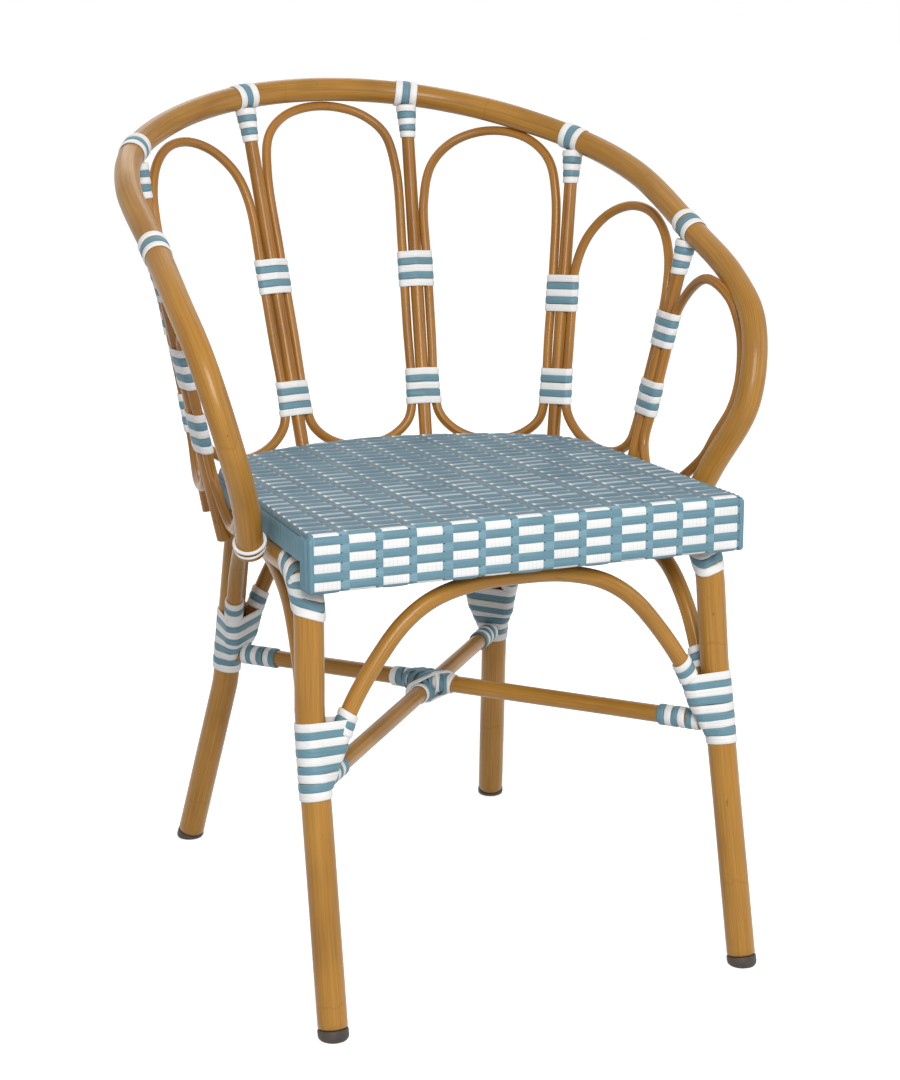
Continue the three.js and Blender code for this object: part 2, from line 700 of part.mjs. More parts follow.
// Where a curve crosses the plane through a centre nearest to that centre, or else its nearest end
const crossingSamples = 240;
function crossingOf(curve, centre, direction) {
  const points = curve.getPoints(crossingSamples);
  const heights = points.map((p) => p.clone().sub(centre).dot(direction));
  let nearest = null;
  const ends = [points[0], points[points.length - 1]];
  for (let i = 1; i < points.length; i += 1) {
    if (heights[i - 1] * heights[i] <= 0 && heights[i - 1] !== heights[i]) {
      const place = mix(points[i - 1], points[i], heights[i - 1] / (heights[i - 1] - heights[i]));
      if (!nearest || place.distanceTo(centre) < nearest.distanceTo(centre)) nearest = place;
    }
  }
  return nearest || ends.reduce((a, b) => (a.distanceTo(centre) < b.distanceTo(centre) ? a : b));
}

const rodTiltEase = 1.6;

// Spindle bindings hold a spindle and the petal rods on either side of it
function spindleBundle(i) {
  const line = spindleLines[i];
  return (travel) => {
    const centre = line.foot.clone().addScaledVector(line.direction, travel);
    const left = crossingOf(petalCurves[i], centre, line.direction);
    const right = crossingOf(petalCurves[i + 1], centre, line.direction);
    const across = right.clone().sub(left).normalize();
    const rounds = [right, left].map((place) => ({ centre: place, radius: petalRadius + rodTiltEase }));
    rounds.push({ centre, radius: spindleRadius });
    return { across, along: line.direction, rounds };
  };
}

const mirrorOrder = [2, 1, 0, 0, 1, 2];
spindleLines.forEach((line, i) => {
  const bundle = spindleBundle(i);
  const order = mirrorOrder[i];
  for (const [label, shares] of [['upper', upperBindingShares], ['lower', lowerBindingShares]]) {
    const middle = heightShare(line, bindingHeight(shares[order])) * line.foot.distanceTo(line.top);
    const start = middle - (midTurns * stripPitch) / 2;
    const angles = turnAngles(bundle(middle), coarseTurn);
    const name = `${label}_binding_${i + 1}`;
    addPiece(name, wind(name, bundle, start, midTurns, angles), tealStrip);
  }
});

const bandLift = 1.6;

// A saddle band passes round one pole and runs down both sides of the pole that meets it there
function saddleBand(centre, axis, branch, radius, branchRadius, width, neckWidth, reach) {
  const down = branch.clone().addScaledVector(axis, -branch.dot(axis)).normalize();
  const side = axis.clone().cross(down).normalize();
  const spread = THREE.MathUtils.degToRad(105);
  const parts = 6;
  const stations = [];
  const leg = (sign) => ({
    place: centre.clone().addScaledVector(branch, reach).addScaledVector(side, sign * (branchRadius + stripLift)),
    normal: side.clone().multiplyScalar(sign),
    along: axis,
    width: neckWidth,
  });
  stations.push(leg(1));
  for (let i = 0; i <= parts; i += 1) {
    const angle = spread * ((2 * i) / parts - 1);
    const normal = down.clone().negate().applyAxisAngle(axis, angle);
    stations.push({ place: centre.clone().addScaledVector(normal, radius + bandLift), normal, along: axis, width });
  }
  stations.push(leg(-1));
  return toSolid(stripGeometry(stations, flatBandShares));
}

// Hoop bindings: a saddle band over the hoop, then turns round the spindle's neck
const neckStart = hoopRadius + stripWidth;
const hoopBandWidth = 22;
spindleLines.forEach((line, i) => {
  const axis = hoopPath.getTangent(onHalf(spindleTopShares[mirrorOrder[i]] * Math.sign(line.top.x)));
  const branch = line.direction.clone().negate();
  const across = axis.clone().addScaledVector(branch, -axis.dot(branch)).normalize();
  const bundle = (travel) => ({
    across,
    along: branch,
    rounds: [{ centre: line.top.clone().addScaledVector(branch, travel), radius: spindleRadius }],
  });
  const name = `hoop_binding_${i + 1}`;
  const neck = toSolid(wind(name, bundle, neckStart, spindleWrapTurns, evenAngles(thinSteps)));
  const reach = neckStart + stripWidth / 4;
  const neckWidth = spindleRadius;
  const band = saddleBand(line.top, axis, branch, hoopRadius, spindleRadius, hoopBandWidth, neckWidth, reach);
  addPiece(name, toGeometry(band.add(neck)), tealStrip);
});

// Leg bindings: turns round the leg and its arch feet, a saddle band over the stretcher's end
const legWindDrop = 1;
const legWindStart = archFoot - legWindDrop;
const archTiltEase = 2.8;
const legBandDrop = 13;
const legBandLap = 2.5;
function legBinding(name, legA, arches, stretcher, turns) {
  const axis = legA(archFoot + stripWidth).sub(legA(archFoot)).normalize();
  const towards = stretcher[1].clone().sub(stretcher[0]).normalize();
  const across = towards.clone().negate().addScaledVector(axis, towards.dot(axis)).normalize();
  const bundle = (height) => {
    const centre = legA(height);
    const feet = arches.map((curve) => crossingOf(curve, centre, axis));
    const feetRounds = feet.map((place) => ({ centre: place, radius: archRadius + archTiltEase }));
    return { across, along: axis, rounds: [{ centre, radius: poleRadius + clearance }, ...feetRounds] };
  };
  const angles = turnAngles(bundle(legWindStart), fineTurn);
  const body = toSolid(wind(name, bundle, legWindStart, turns, angles));
  const centre = stretcher[0].clone();
  const endBundle = (travel) => ({
    across: up,
    along: towards,
    rounds: [{ centre: centre.clone().addScaledVector(towards, travel), radius: stretcherRadius }],
  });
  const endStart = poleRadius + stripWidth;
  const end = toSolid(wind(name, endBundle, endStart, stretcherWrapTurns, evenAngles(thickSteps)));
  const reach = endStart + stripWidth / 4;
  const bandWidth = legWindStart - legBandLap - centre.z + legBandDrop;
  const bandCentre = centre.clone().addScaledVector(axis, bandWidth / 2 - legBandDrop);
  const neckWidth = stretcherRadius;
  const band = saddleBand(bandCentre, axis, towards, poleRadius, stretcherRadius, bandWidth, neckWidth, reach);
  addPiece(name, toGeometry(band.add(end).add(body)), tealStrip);
}

for (const [label, side] of sides) {
  const sideArch = archCurves[`side_arch_${label}`];
  const front = [archCurves.front_arch, sideArch];
  const rear = [archCurves.rear_arch, sideArch];
  const frontHeight = side < 0 ? stretcherLow : stretcherHigh;
  const rearHeight = side < 0 ? stretcherHigh : stretcherLow;
  const frontEnd = stretcherLine(frontHeight, side);
  const rearEnd = stretcherLine(rearHeight, -side).reverse();
  legBinding(`front_leg_binding_${label}`, legCentre(frontLegAt, side), front, frontEnd, legWrapTurns);
  legBinding(`rear_leg_binding_${label}`, legCentre(rearLegAt, side), rear, rearEnd, rearLegWrapTurns);
}

// Seat corner bindings follow the front legs' bend
const cornerDrop = 14;
const cornerStart = apronBottom - cornerDrop;
const cornerPitch = 8.5;
const cornerStripWidth = 5;
const cornerBendEase = 0.6;
for (const [label, side] of sides) {
  const path = new THREE.CurvePath();
  const points = frontPoints.map((p) => sided(p, side));
  points.slice(1).forEach((p, i) => path.add(new THREE.LineCurve3(points[i], p)));
  const length = path.getLength();
  const start = frontPoints[0].distanceTo(frontKnee) + onLine(frontKnee, shoulder, cornerStart).distanceTo(frontKnee);
  const bundle = (travel) => {
    const at = travel / length;
    const along = path.getPointAt(at + cornerPitch / length).sub(path.getPointAt(at - cornerPitch / length)).normalize();
    const across = point(-side, 0, 0).addScaledVector(along, side * along.x).normalize();
    return { across, along, rounds: [{ centre: path.getPointAt(at), radius: poleRadius + cornerBendEase }] };
  };
  const name = `corner_binding_${label}`;
  const angles = evenAngles(thickSteps);
  const body = wind(name, bundle, start, cornerWrapTurns, angles, cornerPitch, cornerStripWidth);
  addPiece(name, body, tealStrip);
}

// Crossing binding: turns that pass over the upper and under the lower stretcher
const crossingAt = mix(lowFront, lowRear, lowFront.x / (lowFront.x - lowRear.x));
const crossingSlope = (lowRear.x - lowFront.x) / (lowRear.y - lowFront.y);
const crossingReach = 12.1;
const crossingSpread = crossingReach * crossingSlope ** 2;
const crossingSteps = 24;
const crossingBundle = (travel) => ({
  across: point(1, 0, 0),
  along: point(0, 1, 0),
  rounds: [[1, stretcherLow], [-1, stretcherHigh]].flatMap(([lean, height]) => [-1, 1].map((end) => ({
    centre: point(lean * travel * crossingSlope + end * crossingSpread, crossingAt.y + travel, height),
    radius: stretcherRadius,
  }))),
});
const crossingStart = (-crossingWrapTurns * stripPitch) / 2;
const crossingName = 'crossing_binding';
const crossingWind = wind(crossingName, crossingBundle, crossingStart, crossingWrapTurns, evenAngles(crossingSteps));
addPiece(crossingName, crossingWind, whiteStrip);

// Lashings: a thin cord round each hoop tip
const cordSteps = 10;
const cordSides = 5;
const lashingRise = 16;
for (const [label, side] of sides) {
  const tip = sided(hoopTip, side);
  const knots = hoopHalf.length - 1;
  const axis = sided(hoopPath.getTangent(1 - clearance / (hoopRadius * knots)), side).negate();
  const centre = tip.clone().addScaledVector(axis, lashingRise);
  const across = point(side, 0, 0).addScaledVector(axis, -side * axis.x).normalize();
  const places = [];
  for (let i = 0; i <= cordTurns * cordSteps; i += 1) {
    const turn = i / cordSteps;
    const outward = across.clone().applyAxisAngle(axis, turn * 2 * Math.PI);
    const along = (turn - cordTurns / 2) * cordPitch;
    const reach = hoopRadius + cordRadius + 3 * clearance;
    places.push(centre.clone().addScaledVector(axis, along).addScaledVector(outward, reach));
  }
  const cord = pole(spline(places, false), cordRadius, cordTurns * cordSteps, cordSides);
  addPiece(`tip_lashing_${label}`, cord, whiteStrip);
}

const middleBox = new THREE.Box3().setFromObject(chair);
chair.position.y = -(middleBox.min.y + middleBox.max.y) / 2;

export default chair;
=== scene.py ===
import random
from math import acos, asin, atan2, cos, hypot, pi, radians, sin, sqrt

import bmesh
import bpy
import numpy as np
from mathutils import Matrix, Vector


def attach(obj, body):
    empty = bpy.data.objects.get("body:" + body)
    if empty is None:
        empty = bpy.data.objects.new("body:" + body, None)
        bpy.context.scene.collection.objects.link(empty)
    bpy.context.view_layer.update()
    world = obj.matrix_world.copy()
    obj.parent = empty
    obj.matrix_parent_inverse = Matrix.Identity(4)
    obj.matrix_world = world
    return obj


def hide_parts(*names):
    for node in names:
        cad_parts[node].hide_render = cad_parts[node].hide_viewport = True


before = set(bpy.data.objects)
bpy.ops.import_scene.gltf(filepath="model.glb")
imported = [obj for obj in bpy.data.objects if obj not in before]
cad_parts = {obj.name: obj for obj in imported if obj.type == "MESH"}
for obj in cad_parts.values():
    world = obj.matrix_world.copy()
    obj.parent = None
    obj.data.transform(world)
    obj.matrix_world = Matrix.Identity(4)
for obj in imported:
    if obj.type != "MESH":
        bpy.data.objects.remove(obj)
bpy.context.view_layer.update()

# Lengths are millimetres in the part's frame, and become metres in Build.make.
MM = 0.001
SHIFT_Y = 0.43  # the part's final shift along Y
PHASE = 6.28  # range of random phases
rnd = random.Random(7)
norm = np.linalg.norm
scene = bpy.context.scene


def P(*a):
    return np.array(a, float)


def unit(v):
    return v / max(norm(v), 1e-12)


def show(name, data):
    ob = bpy.data.objects.new(name, data)
    scene.collection.objects.link(ob)
    return ob


def aim(ob, at, look):
    ob.location = at
    ob.rotation_euler = look.to_track_quat("-Z", "Y").to_euler()


# Node helpers
def new_mat(name):
    m = bpy.data.materials.new(name)
    m.use_nodes = True
    nt = m.node_tree
    return m, nt, nt.nodes["Principled BSDF"]


def add(nt, kind, **vals):
    n = nt.nodes.new("ShaderNode" + kind)
    for k, v in vals.items():
        if k in n.inputs:
            n.inputs[k].default_value = v
        else:
            setattr(n, k, v)
    return n


def uv_along(nt):
    """The UV coordinate that runs along a pole or strip, in metres."""
    sep = add(nt, "SeparateXYZ")
    nt.links.new(add(nt, "TexCoord").outputs["UV"], sep.inputs[0])
    return sep.outputs[1]


def noise(nt, scale, detail, rough=0.5, space="UV"):
    n = add(nt, "TexNoise", Scale=1.0, Detail=detail, Roughness=rough)
    mp = add(nt, "Mapping", Scale=scale)
    nt.links.new(add(nt, "TexCoord").outputs[space], mp.inputs["Vector"])
    nt.links.new(mp.outputs["Vector"], n.inputs["Vector"])
    return n.outputs["Fac"]


def ramp(nt, fac, stops):
    r = add(nt, "ValToRGB")
    el = r.color_ramp.elements
    while len(el) < len(stops):
        el.new(0.5)
    for e, (p, c) in zip(el, stops):
        e.position = p
        e.color = (*c, 1)
    nt.links.new(fac, r.inputs["Fac"])
    return r.outputs["Color"]


def mixc(nt, fac, a, b, mode="MIX"):
    m = add(nt, "Mix", data_type="RGBA", blend_type=mode)
    for sock, v in (("Factor", fac), ("A", a), ("B", b)):
        i = [s for s in m.inputs if s.name == sock and (s.type == "RGBA") == (sock != "Factor")][0]
        if hasattr(v, "is_output"):
            nt.links.new(v, i)
        else:
            i.default_value = v if sock == "Factor" else (*v, 1)
    return [o for o in m.outputs if o.type == "RGBA"][0]


def calc(nt, op, a, b=None):
    m = add(nt, "Math", operation=op)
    for i, v in ((0, a), (1, b)):
        if v is None:
            continue
        if hasattr(v, "is_output"):
            nt.links.new(v, m.inputs[i])
        else:
            m.inputs[i].default_value = v
    return m.outputs[0]


def bump(nt, b, height, strength, dist):
    n = add(nt, "Bump", Strength=strength, Distance=dist)
    nt.links.new(height, n.inputs["Height"])
    nt.links.new(n.outputs["Normal"], b.inputs["Normal"])


def wear(nt, b, col, fac, *stops):
    """Links a colour, and a roughness that goes by fac."""
    nt.links.new(col, b.inputs["Base Color"])
    nt.links.new(ramp(nt, fac, [(at, grey(v)) for at, v in stops]), b.inputs["Roughness"])


def seen_rays(nt):
    """1 for the rays that see the background: camera, glossy and transmission."""
    path = add(nt, "LightPath")
    mirrored = calc(nt, "MAXIMUM", path.outputs["Is Glossy Ray"],
                    path.outputs["Is Transmission Ray"])
    return calc(nt, "MAXIMUM", path.outputs["Is Camera Ray"], mirrored)


def lin(r, g, b):
    """An sRGB colour, 0 to 255, as linear values."""
    return tuple(((c / 255 + 0.055) / 1.055) ** 2.4 if c > 10 else c / 255 / 12.92
                 for c in (r, g, b))


def grey(v):
    return (v, v, v)


# Materials. Texture scales are per metre: across a pole or strip, then along it.
GRAIN, FIBRE, STREAK, PATCH = (900, 9, 1), (2600, 26, 1), (330, 4, 1), (22, 7, 1)
SPOT, RING_EDGE, STRIP_LINE = (150, 60, 1), (90, 30, 1), (1300, 16, 1)
RINGS_PER_METRE = 4.3
RIB = 0.00408  # pitch of the fine ribs across a white strip of the weave, in metres


def rattan(name, base, dark, light, rough, streaky):
    m, nt, b = new_mat(name)
    grain = noise(nt, GRAIN, 4, 0.6)
    fibre = noise(nt, FIBRE, 2)
    patch = noise(nt, PATCH, 3, 0.55)
    streak = noise(nt, STREAK, 2)
    spot = noise(nt, SPOT, 2, 0.6)
    # growth rings about every quarter metre, with a broken edge
    wobble = calc(nt, "MULTIPLY", noise(nt, RING_EDGE, 2), 0.02)
    at = calc(nt, "MULTIPLY", calc(nt, "ADD", uv_along(nt), wobble), RINGS_PER_METRE)
    off = calc(nt, "ABSOLUTE", calc(nt, "SUBTRACT", calc(nt, "FRACT", at), 0.5))
    ring = calc(nt, "LESS_THAN", off, 0.006)

    col = ramp(nt, grain, [(0.2, dark), (0.5, base), (0.8, light)])
    shade = ramp(nt, patch, [(0.3, (0.66, 0.62, 0.58)), (0.5, grey(0.95)),
                             (0.72, (1.12, 1.1, 1.06))])
    col = mixc(nt, 0.75, col, shade, "MULTIPLY")
    fine = ramp(nt, fibre, [(0.35, (0.86, 0.84, 0.8)), (0.6, grey(1))])
    col = mixc(nt, 0.6, col, fine, "MULTIPLY")
    lines = ramp(nt, streak, [(0.32, (0.68, 0.58, 0.48)), (0.5, grey(1)), (0.7, (1.14, 1.12, 1.1))])
    col = mixc(nt, streaky, col, lines, "MULTIPLY")
    col = mixc(nt, calc(nt, "MULTIPLY", ring, 0.42), col, dark)
    spots = ramp(nt, spot, [(0.22, (0.42, 0.34, 0.28)), (0.29, grey(1))])
    col = mixc(nt, 0.8, col, spots, "MULTIPLY")
    wear(nt, b, col, patch, (0.3, rough + 0.12), (0.7, rough - 0.05))
    b.inputs["Specular IOR Level"].default_value = 0.2
    b.inputs["Coat Weight"].default_value = 0.22
    b.inputs["Coat Roughness"].default_value = 0.16
    bump(nt, b, calc(nt, "ADD", grain, calc(nt, "MULTIPLY", ring, -0.8)), 0.12, 0.0004)
    return m


def strip(name, base, low, rough=0.42, ribs=0.0):
    m, nt, b = new_mat(name)
    lines = noise(nt, STRIP_LINE, 2)
    soil = noise(nt, (22, 22, 22), 3, 0.6, "Object")
    col = ramp(nt, lines, [(0.3, low), (0.62, base)])
    col = mixc(nt, 0.8, col, ramp(nt, soil, [(0.3, grey(0.9)), (0.6, grey(1))]), "MULTIPLY")
    if ribs:
        # darker lines where the ribs' grooves lie: painted shade, as the strip has no real grooves
        part = calc(nt, "FRACT", calc(nt, "DIVIDE", uv_along(nt), ribs))
        near = calc(nt, "ABSOLUTE", calc(nt, "SUBTRACT", part, 0.5))
        groove_painted_shade = ramp(nt, near, [(0.0, (0.86, 0.87, 0.88)), (0.1, grey(1))])
        col = mixc(nt, 1.0, col, groove_painted_shade, "MULTIPLY")
    wear(nt, b, col, soil, (0.3, rough + 0.1), (0.7, rough))
    b.inputs["Specular IOR Level"].default_value = 0.3
    bump(nt, b, lines, 0.3, 0.0003)
    return m


def plastic(name, base):
    m, nt, b = new_mat(name)
    stipple = noise(nt, (500, 500, 500), 2, space="Object")
    scuff = noise(nt, (60, 60, 90), 4, 0.6, "Object")
    col = ramp(nt, scuff, [(0.35, base), (0.75, tuple(c * 2.2 for c in base))])
    wear(nt, b, col, scuff, (0.3, 0.5), (0.7, 0.68))
    bump(nt, b, stipple, 0.25, 0.0003)
    return m


def board(name, base, dark):
    m, nt, b = new_mat(name)
    grain = noise(nt, (14, 160, 160), 5, 0.6, "Object")
    nt.links.new(ramp(nt, grain, [(0.3, dark), (0.65, base)]), b.inputs["Base Color"])
    b.inputs["Roughness"].default_value = 0.75
    bump(nt, b, grain, 0.3, 0.0005)
    return m


POLE = rattan("rattan_pole", lin(178, 128, 52), lin(160, 109, 40), lin(190, 143, 67), 0.36, 0.25)
ROD = rattan("rattan_rod", lin(172, 119, 49), lin(150, 98, 36), lin(186, 137, 66), 0.34, 0.8)
TEAL = strip("strip_blue", lin(112, 150, 164), lin(96, 134, 148))
# a lighter, glossier copy of the blue strip: painted highlight where a blue strand bends up beside
# a white block's end
TEAL_PAINTED_HIGHLIGHT = strip("strip_blue_painted_highlight", lin(130, 166, 180), lin(112, 149, 163), 0.3)
# near-black blue for the weave's holes: painted shade, as the sheet has no opening there
HOLE_PAINTED_SHADE = strip("weave_hole_painted_shade", lin(44, 52, 60), lin(34, 40, 46))
# greyer white and darker blue for the seat's top: painted shade, darker copies of the weave's own
# colours
TOP_WHITE_PAINTED_SHADE = strip("top_white_painted_shade", lin(186, 197, 204), lin(168, 181, 190), ribs=RIB)
TOP_TEAL_PAINTED_SHADE = strip("top_blue_painted_shade", lin(112, 138, 150), lin(96, 122, 136), 0.5)
WEAVE_WHITE = strip("weave_white", lin(246, 246, 244), lin(236, 235, 233), ribs=RIB)
WHITE = strip("strip_white", lin(246, 246, 244), lin(232, 231, 230))
BLACK = plastic("foot_black", lin(52, 44, 38))
WOOD = board("hidden_wood", lin(196, 164, 118), lin(150, 116, 76))


class Build:
    """Collects the faces of one piece, with UVs in metres, and makes its object."""

    def __init__(self):
        self.v, self.f, self.uv, self.m = [], [], [], []
        self.n = 0

    def skin(self, rings, mat=0, closed=False, v0=0.0):
        """A tube through rings of points; an open one gets a cap at each end."""
        rings = np.asarray(rings, float)
        n, k = rings.shape[:2]
        mids = rings.mean(axis=1)
        step = norm(np.diff(mids, axis=0, append=mids[:1]), axis=1)
        vv = v0 + np.concatenate([[0], np.cumsum(step)]) * MM
        seg = norm(rings[0] - np.roll(rings[0], -1, axis=0), axis=1)
        uu = np.concatenate([[0], np.cumsum(seg)]) * MM
        base = self.n
        self.v.append(rings.reshape(-1, 3))
        self.n += n * k
        for i in range(n if closed else n - 1):
            j = (i + 1) % n
            for q in range(k):
                r = (q + 1) % k
                low, high = base + i * k, base + j * k
                self.f.append([low + q, low + r, high + r, high + q])
                (u1, u2), (v1, v2) = uu[q:q + 2], vv[i:i + 2]
                self.uv.extend([(u1, v1), (u2, v1), (u2, v2), (u1, v2)])
                self.m.append(mat)
        if closed:
            return
        for row, reverse in ((0, True), (n - 1, False)):
            ids = [base + row * k + q for q in range(k)]
            e1 = unit(rings[row][0] - mids[row])
            e2 = unit(np.cross(unit(mids[1] - mids[0]), e1))
            uvs = [((p - mids[row]) @ e1 * MM, v0 + (p - mids[row]) @ e2 * MM) for p in rings[row]]
            self.f.append(ids[::-1] if reverse else ids)
            self.uv.extend(uvs[::-1] if reverse else uvs)
            self.m.append(mat)

    def grid(self, pts, uv, mats, flip=False):
        """A sheet of rows of points; mats gives each cell's material."""
        n, k = pts.shape[:2]
        base = self.n
        self.v.append(pts.reshape(-1, 3))
        self.n += n * k
        for i in range(n - 1):
            for j in range(k - 1):
                a = [(i, j), (i, j + 1), (i + 1, j + 1), (i + 1, j)]
                if flip:
                    a = a[::-1]
                self.f.append([base + p * k + q for p, q in a])
                self.uv.extend([tuple(uv[p, q]) for p, q in a])
                self.m.append(int(mats[i, j]))

    def make(self, name, mats, stands_for, slot, merge=0.0):
        me = bpy.data.meshes.new(name)
        v = (np.concatenate(self.v) + P(0, SHIFT_Y, 0)) * MM
        me.from_pydata(v.tolist(), [], self.f)
        for m in mats:
            me.materials.append(m)
        lay = me.uv_layers.new(name="UVMap")
        lay.data.foreach_set("uv", np.array(self.uv, "f").ravel())
        me.polygons.foreach_set("material_index", self.m)
        me.polygons.foreach_set("use_smooth", [True] * len(self.f))
        me.update()
        ob = show(name, me)
        if merge:
            bm = bmesh.new()
            bm.from_mesh(me)
            bmesh.ops.remove_doubles(bm, verts=bm.verts, dist=merge)
            bm.to_mesh(me)
            bm.free()
        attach(ob, "root")
        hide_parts(*stands_for)


# Curves
def run_of(pts):
    """Distance along a line of points."""
    return np.concatenate([[0], np.cumsum(norm(np.diff(pts, axis=0), axis=1))])


def point_on(pts, run, s):
    return P(*[np.interp(s, run, pts[:, q]) for q in range(3)])


def tangents(pts, closed=False):
    if closed:
        d = np.roll(pts, -1, 0) - np.roll(pts, 1, 0)
    else:
        e = np.diff(pts, axis=0)
        e /= norm(e, axis=1)[:, None]
        d = np.vstack([e[:1], e[1:] + e[:-1], e[-1:]])
    return d / norm(d, axis=1)[:, None]


def tube_rings(pts, radius, sides=20, closed=False, wobble=0.0, seed=0):
    """Rings of points round a curve, with frames that don't twist and a slightly uneven radius."""
    pts = np.asarray(pts, float)
    t = tangents(pts, closed)
    a = P(0, 0, 1) if abs(t[0][2]) < 0.8 else P(1, 0, 0)
    normals = []
    for ti in t:
        a = unit(a - ti * (a @ ti))
        normals.append(a)
    if closed:
        end = unit(normals[-1] - t[0] * (normals[-1] @ t[0]))
        b0 = np.cross(t[0], normals[0])
        twist = atan2(end @ b0, end @ normals[0])
        for i, ti in enumerate(t):
            ang = -twist * i / len(t)
            n = normals[i]
            normals[i] = n * cos(ang) + np.cross(ti, n) * sin(ang)
    r = np.broadcast_to(np.asarray(radius, float), (len(pts),)).copy()
    if wobble:
        s = random.Random(seed)
        ph = [s.random() * PHASE for _ in range(3)]
        d = run_of(pts)
        if closed:
            k = 2 * pi / (d[-1] + norm(pts[0] - pts[-1]))
            r *= 1 + wobble * (np.sin(k * 3 * d + ph[0]) + 0.6 * np.sin(k * 7 * d + ph[1]))
        else:
            r *= 1 + wobble * (np.sin(d / 61 + ph[0]) + 0.6 * np.sin(d / 23 + ph[1]))
    th = np.arange(sides) / sides * 2 * pi
    rings = []
    for p, ti, n, ri in zip(pts, t, normals, r):
        b = np.cross(ti, n)
        rings.append(p + ri * (np.cos(th)[:, None] * n + np.sin(th)[:, None] * b))
    return np.array(rings)


def catmull(pts, ts, closed=False):
    """Centripetal Catmull-Rom spline at shares ts of its knots."""
    n = len(pts)
    out = []
    for t in ts:
        p = (n if closed else n - 1) * t
        i = int(p)
        w = p - i
        if not closed and i >= n - 1:
            i, w = n - 2, 1.0
        p1, p2 = pts[i % n], pts[(i + 1) % n]
        p0 = pts[(i - 1) % n] if closed or i > 0 else 2 * pts[0] - pts[1]
        p3 = pts[(i + 2) % n] if closed or i + 2 < n else 2 * pts[-1] - pts[-2]
        d0, d1, d2 = (norm(b - a) ** 0.5 for a, b in ((p0, p1), (p1, p2), (p2, p3)))
        t1 = ((p1 - p0) / d0 - (p2 - p0) / (d0 + d1) + (p2 - p1) / d1) * d1
        t2 = ((p2 - p1) / d1 - (p3 - p1) / (d1 + d2) + (p3 - p2) / d2) * d1
        square, cube = -3 * p1 + 3 * p2 - 2 * t1 - t2, 2 * p1 - 2 * p2 + t1 + t2
        out.append(p1 + t1 * w + square * w ** 2 + cube * w ** 3)
    return np.array(out)


def even(pts, n):
    d = run_of(pts)
    s = np.linspace(0, d[-1], n)
    return np.stack([np.interp(s, d, pts[:, i]) for i in range(3)], 1)


def smooth_curve(pts, n, closed=False):
    fine = catmull(pts, np.linspace(0, 1, 60 * len(pts), endpoint=not closed), closed)
    if closed:
        fine = np.vstack([fine, fine[:1]])
        return even(fine, n + 1)[:-1]
    return even(fine, n)


def densify(pts, step=7.0):
    return even(pts, int(run_of(pts)[-1] / step) + 2)


def rounded_ends(pts, radius):
    """Poles end in a slightly eased edge."""
    d = radius * 0.12
    t0, t1 = unit(pts[1] - pts[0]), unit(pts[-1] - pts[-2])
    full = np.vstack([pts[:1], pts[:1] + t0 * d, pts[1:-1], pts[-1:] - t1 * d, pts[-1:]])
    r = np.full(len(full), float(radius))
    r[0] = r[-1] = radius - d
    return full, r


def line(a, b, n):
    return np.array([a + (b - a) * k for k in np.linspace(0, 1, n)])


def mir(p, s):
    return P(s * p[0], p[1], p[2])


SIDES = ((-1, "left"), (1, "right"))


# The chair's lines, from the same values as the part
pole_r, hoop_r, spin_r, petal_r = 13.75, 12.5, 7.0, 5.0
arch_r, str_r, cord_r, gap = 8.0, 8.5, 1.2, 0.3
seat_z, seat_hw, seat_fhw, seat_front, seat_rear = 455.0, 205.0, 215.0, -263.5, 146.0
corner_R, rear_R = 100.0, 300.0
panel_t = 28.5
ring_z = seat_z - panel_t - gap - pole_r
ring_shares = [(0, 0.966), (0.317, 0.935), (0.61, 0.85), (0.861, 0.677), (0.946, 0.31),
               (0.956, -0.116), (0.961, -0.411)]
ring_half = [P(x * seat_hw, y * seat_rear, ring_z) for x, y in ring_shares]
ring_end = ring_half[-1]
ring_pts = [mir(p, -1) for p in ring_half[:0:-1]] + ring_half
RK = len(ring_half) - 1

# The hoop's knots as shares of its half width, reach to the rear or front, and rise above the seat
hoop_hw, hoop_rear, hoop_reach, hoop_rise = 282, 293.6, 185.3, 810.5 - seat_z
back_sh = [(0, 1, 1), (0.327, 0.954, 0.983), (0.624, 0.804, 0.934), (0.859, 0.572, 0.857),
           (0.967, 0.281, 0.772)]
arm_sh = [(0.988, -0.16, 0.636), (1, -0.609, 0.523), (0.985, -0.882, 0.409), (0.926, -1, 0.206),
          (0.845, -0.861, 0.02)]
hoop_tip = P(ring_end[0] + pole_r + hoop_r + 2 * (cord_r + gap), -134, ring_z)
hoop_half = [P(x * hoop_hw, y * reach, seat_z + z * hoop_rise)
             for knots, reach in ((back_sh, hoop_rear), (arm_sh, hoop_reach)) for x, y, z in knots]
hoop_half.append(hoop_tip)
hoop_pts = [mir(p, -1) for p in hoop_half[:0:-1]] + hoop_half
HK = len(hoop_half) - 1
hoop_length = run_of(catmull(hoop_pts, np.linspace(0, 1, 400)))[-1]


def place(pts, t):
    """Point and direction at a share of a curve."""
    p = catmull(pts, [t, min(t + 1e-3, 1), max(t - 1e-3, 0)])
    return p[0], unit(p[1] - p[2])


def hoop_at(knot):
    return place(hoop_pts, (HK + knot) / (2 * HK))


def ring_seat(knot):
    """Point on the seat ring and the direction outwards."""
    p, d = place(ring_pts, (RK + knot) / (2 * RK))
    return p, unit(P(-d[1], d[0], 0))


SPINDLE_KNOTS = (1, 3, 5)  # on the seat ring and on the hoop alike
SPINDLE_ORDER = (2, 1, 0, 0, 1, 2)


def spindle(knot):
    """Foot, top and direction of a right-hand spindle, which stands outside the seat ring."""
    c, out = ring_seat(knot)
    top = hoop_half[knot]
    lean = acos(unit(top - c)[2])
    at = c + out * ((pole_r + spin_r + gap) / cos(lean))
    d = unit(top - at)
    return at - d * pole_r, top, d


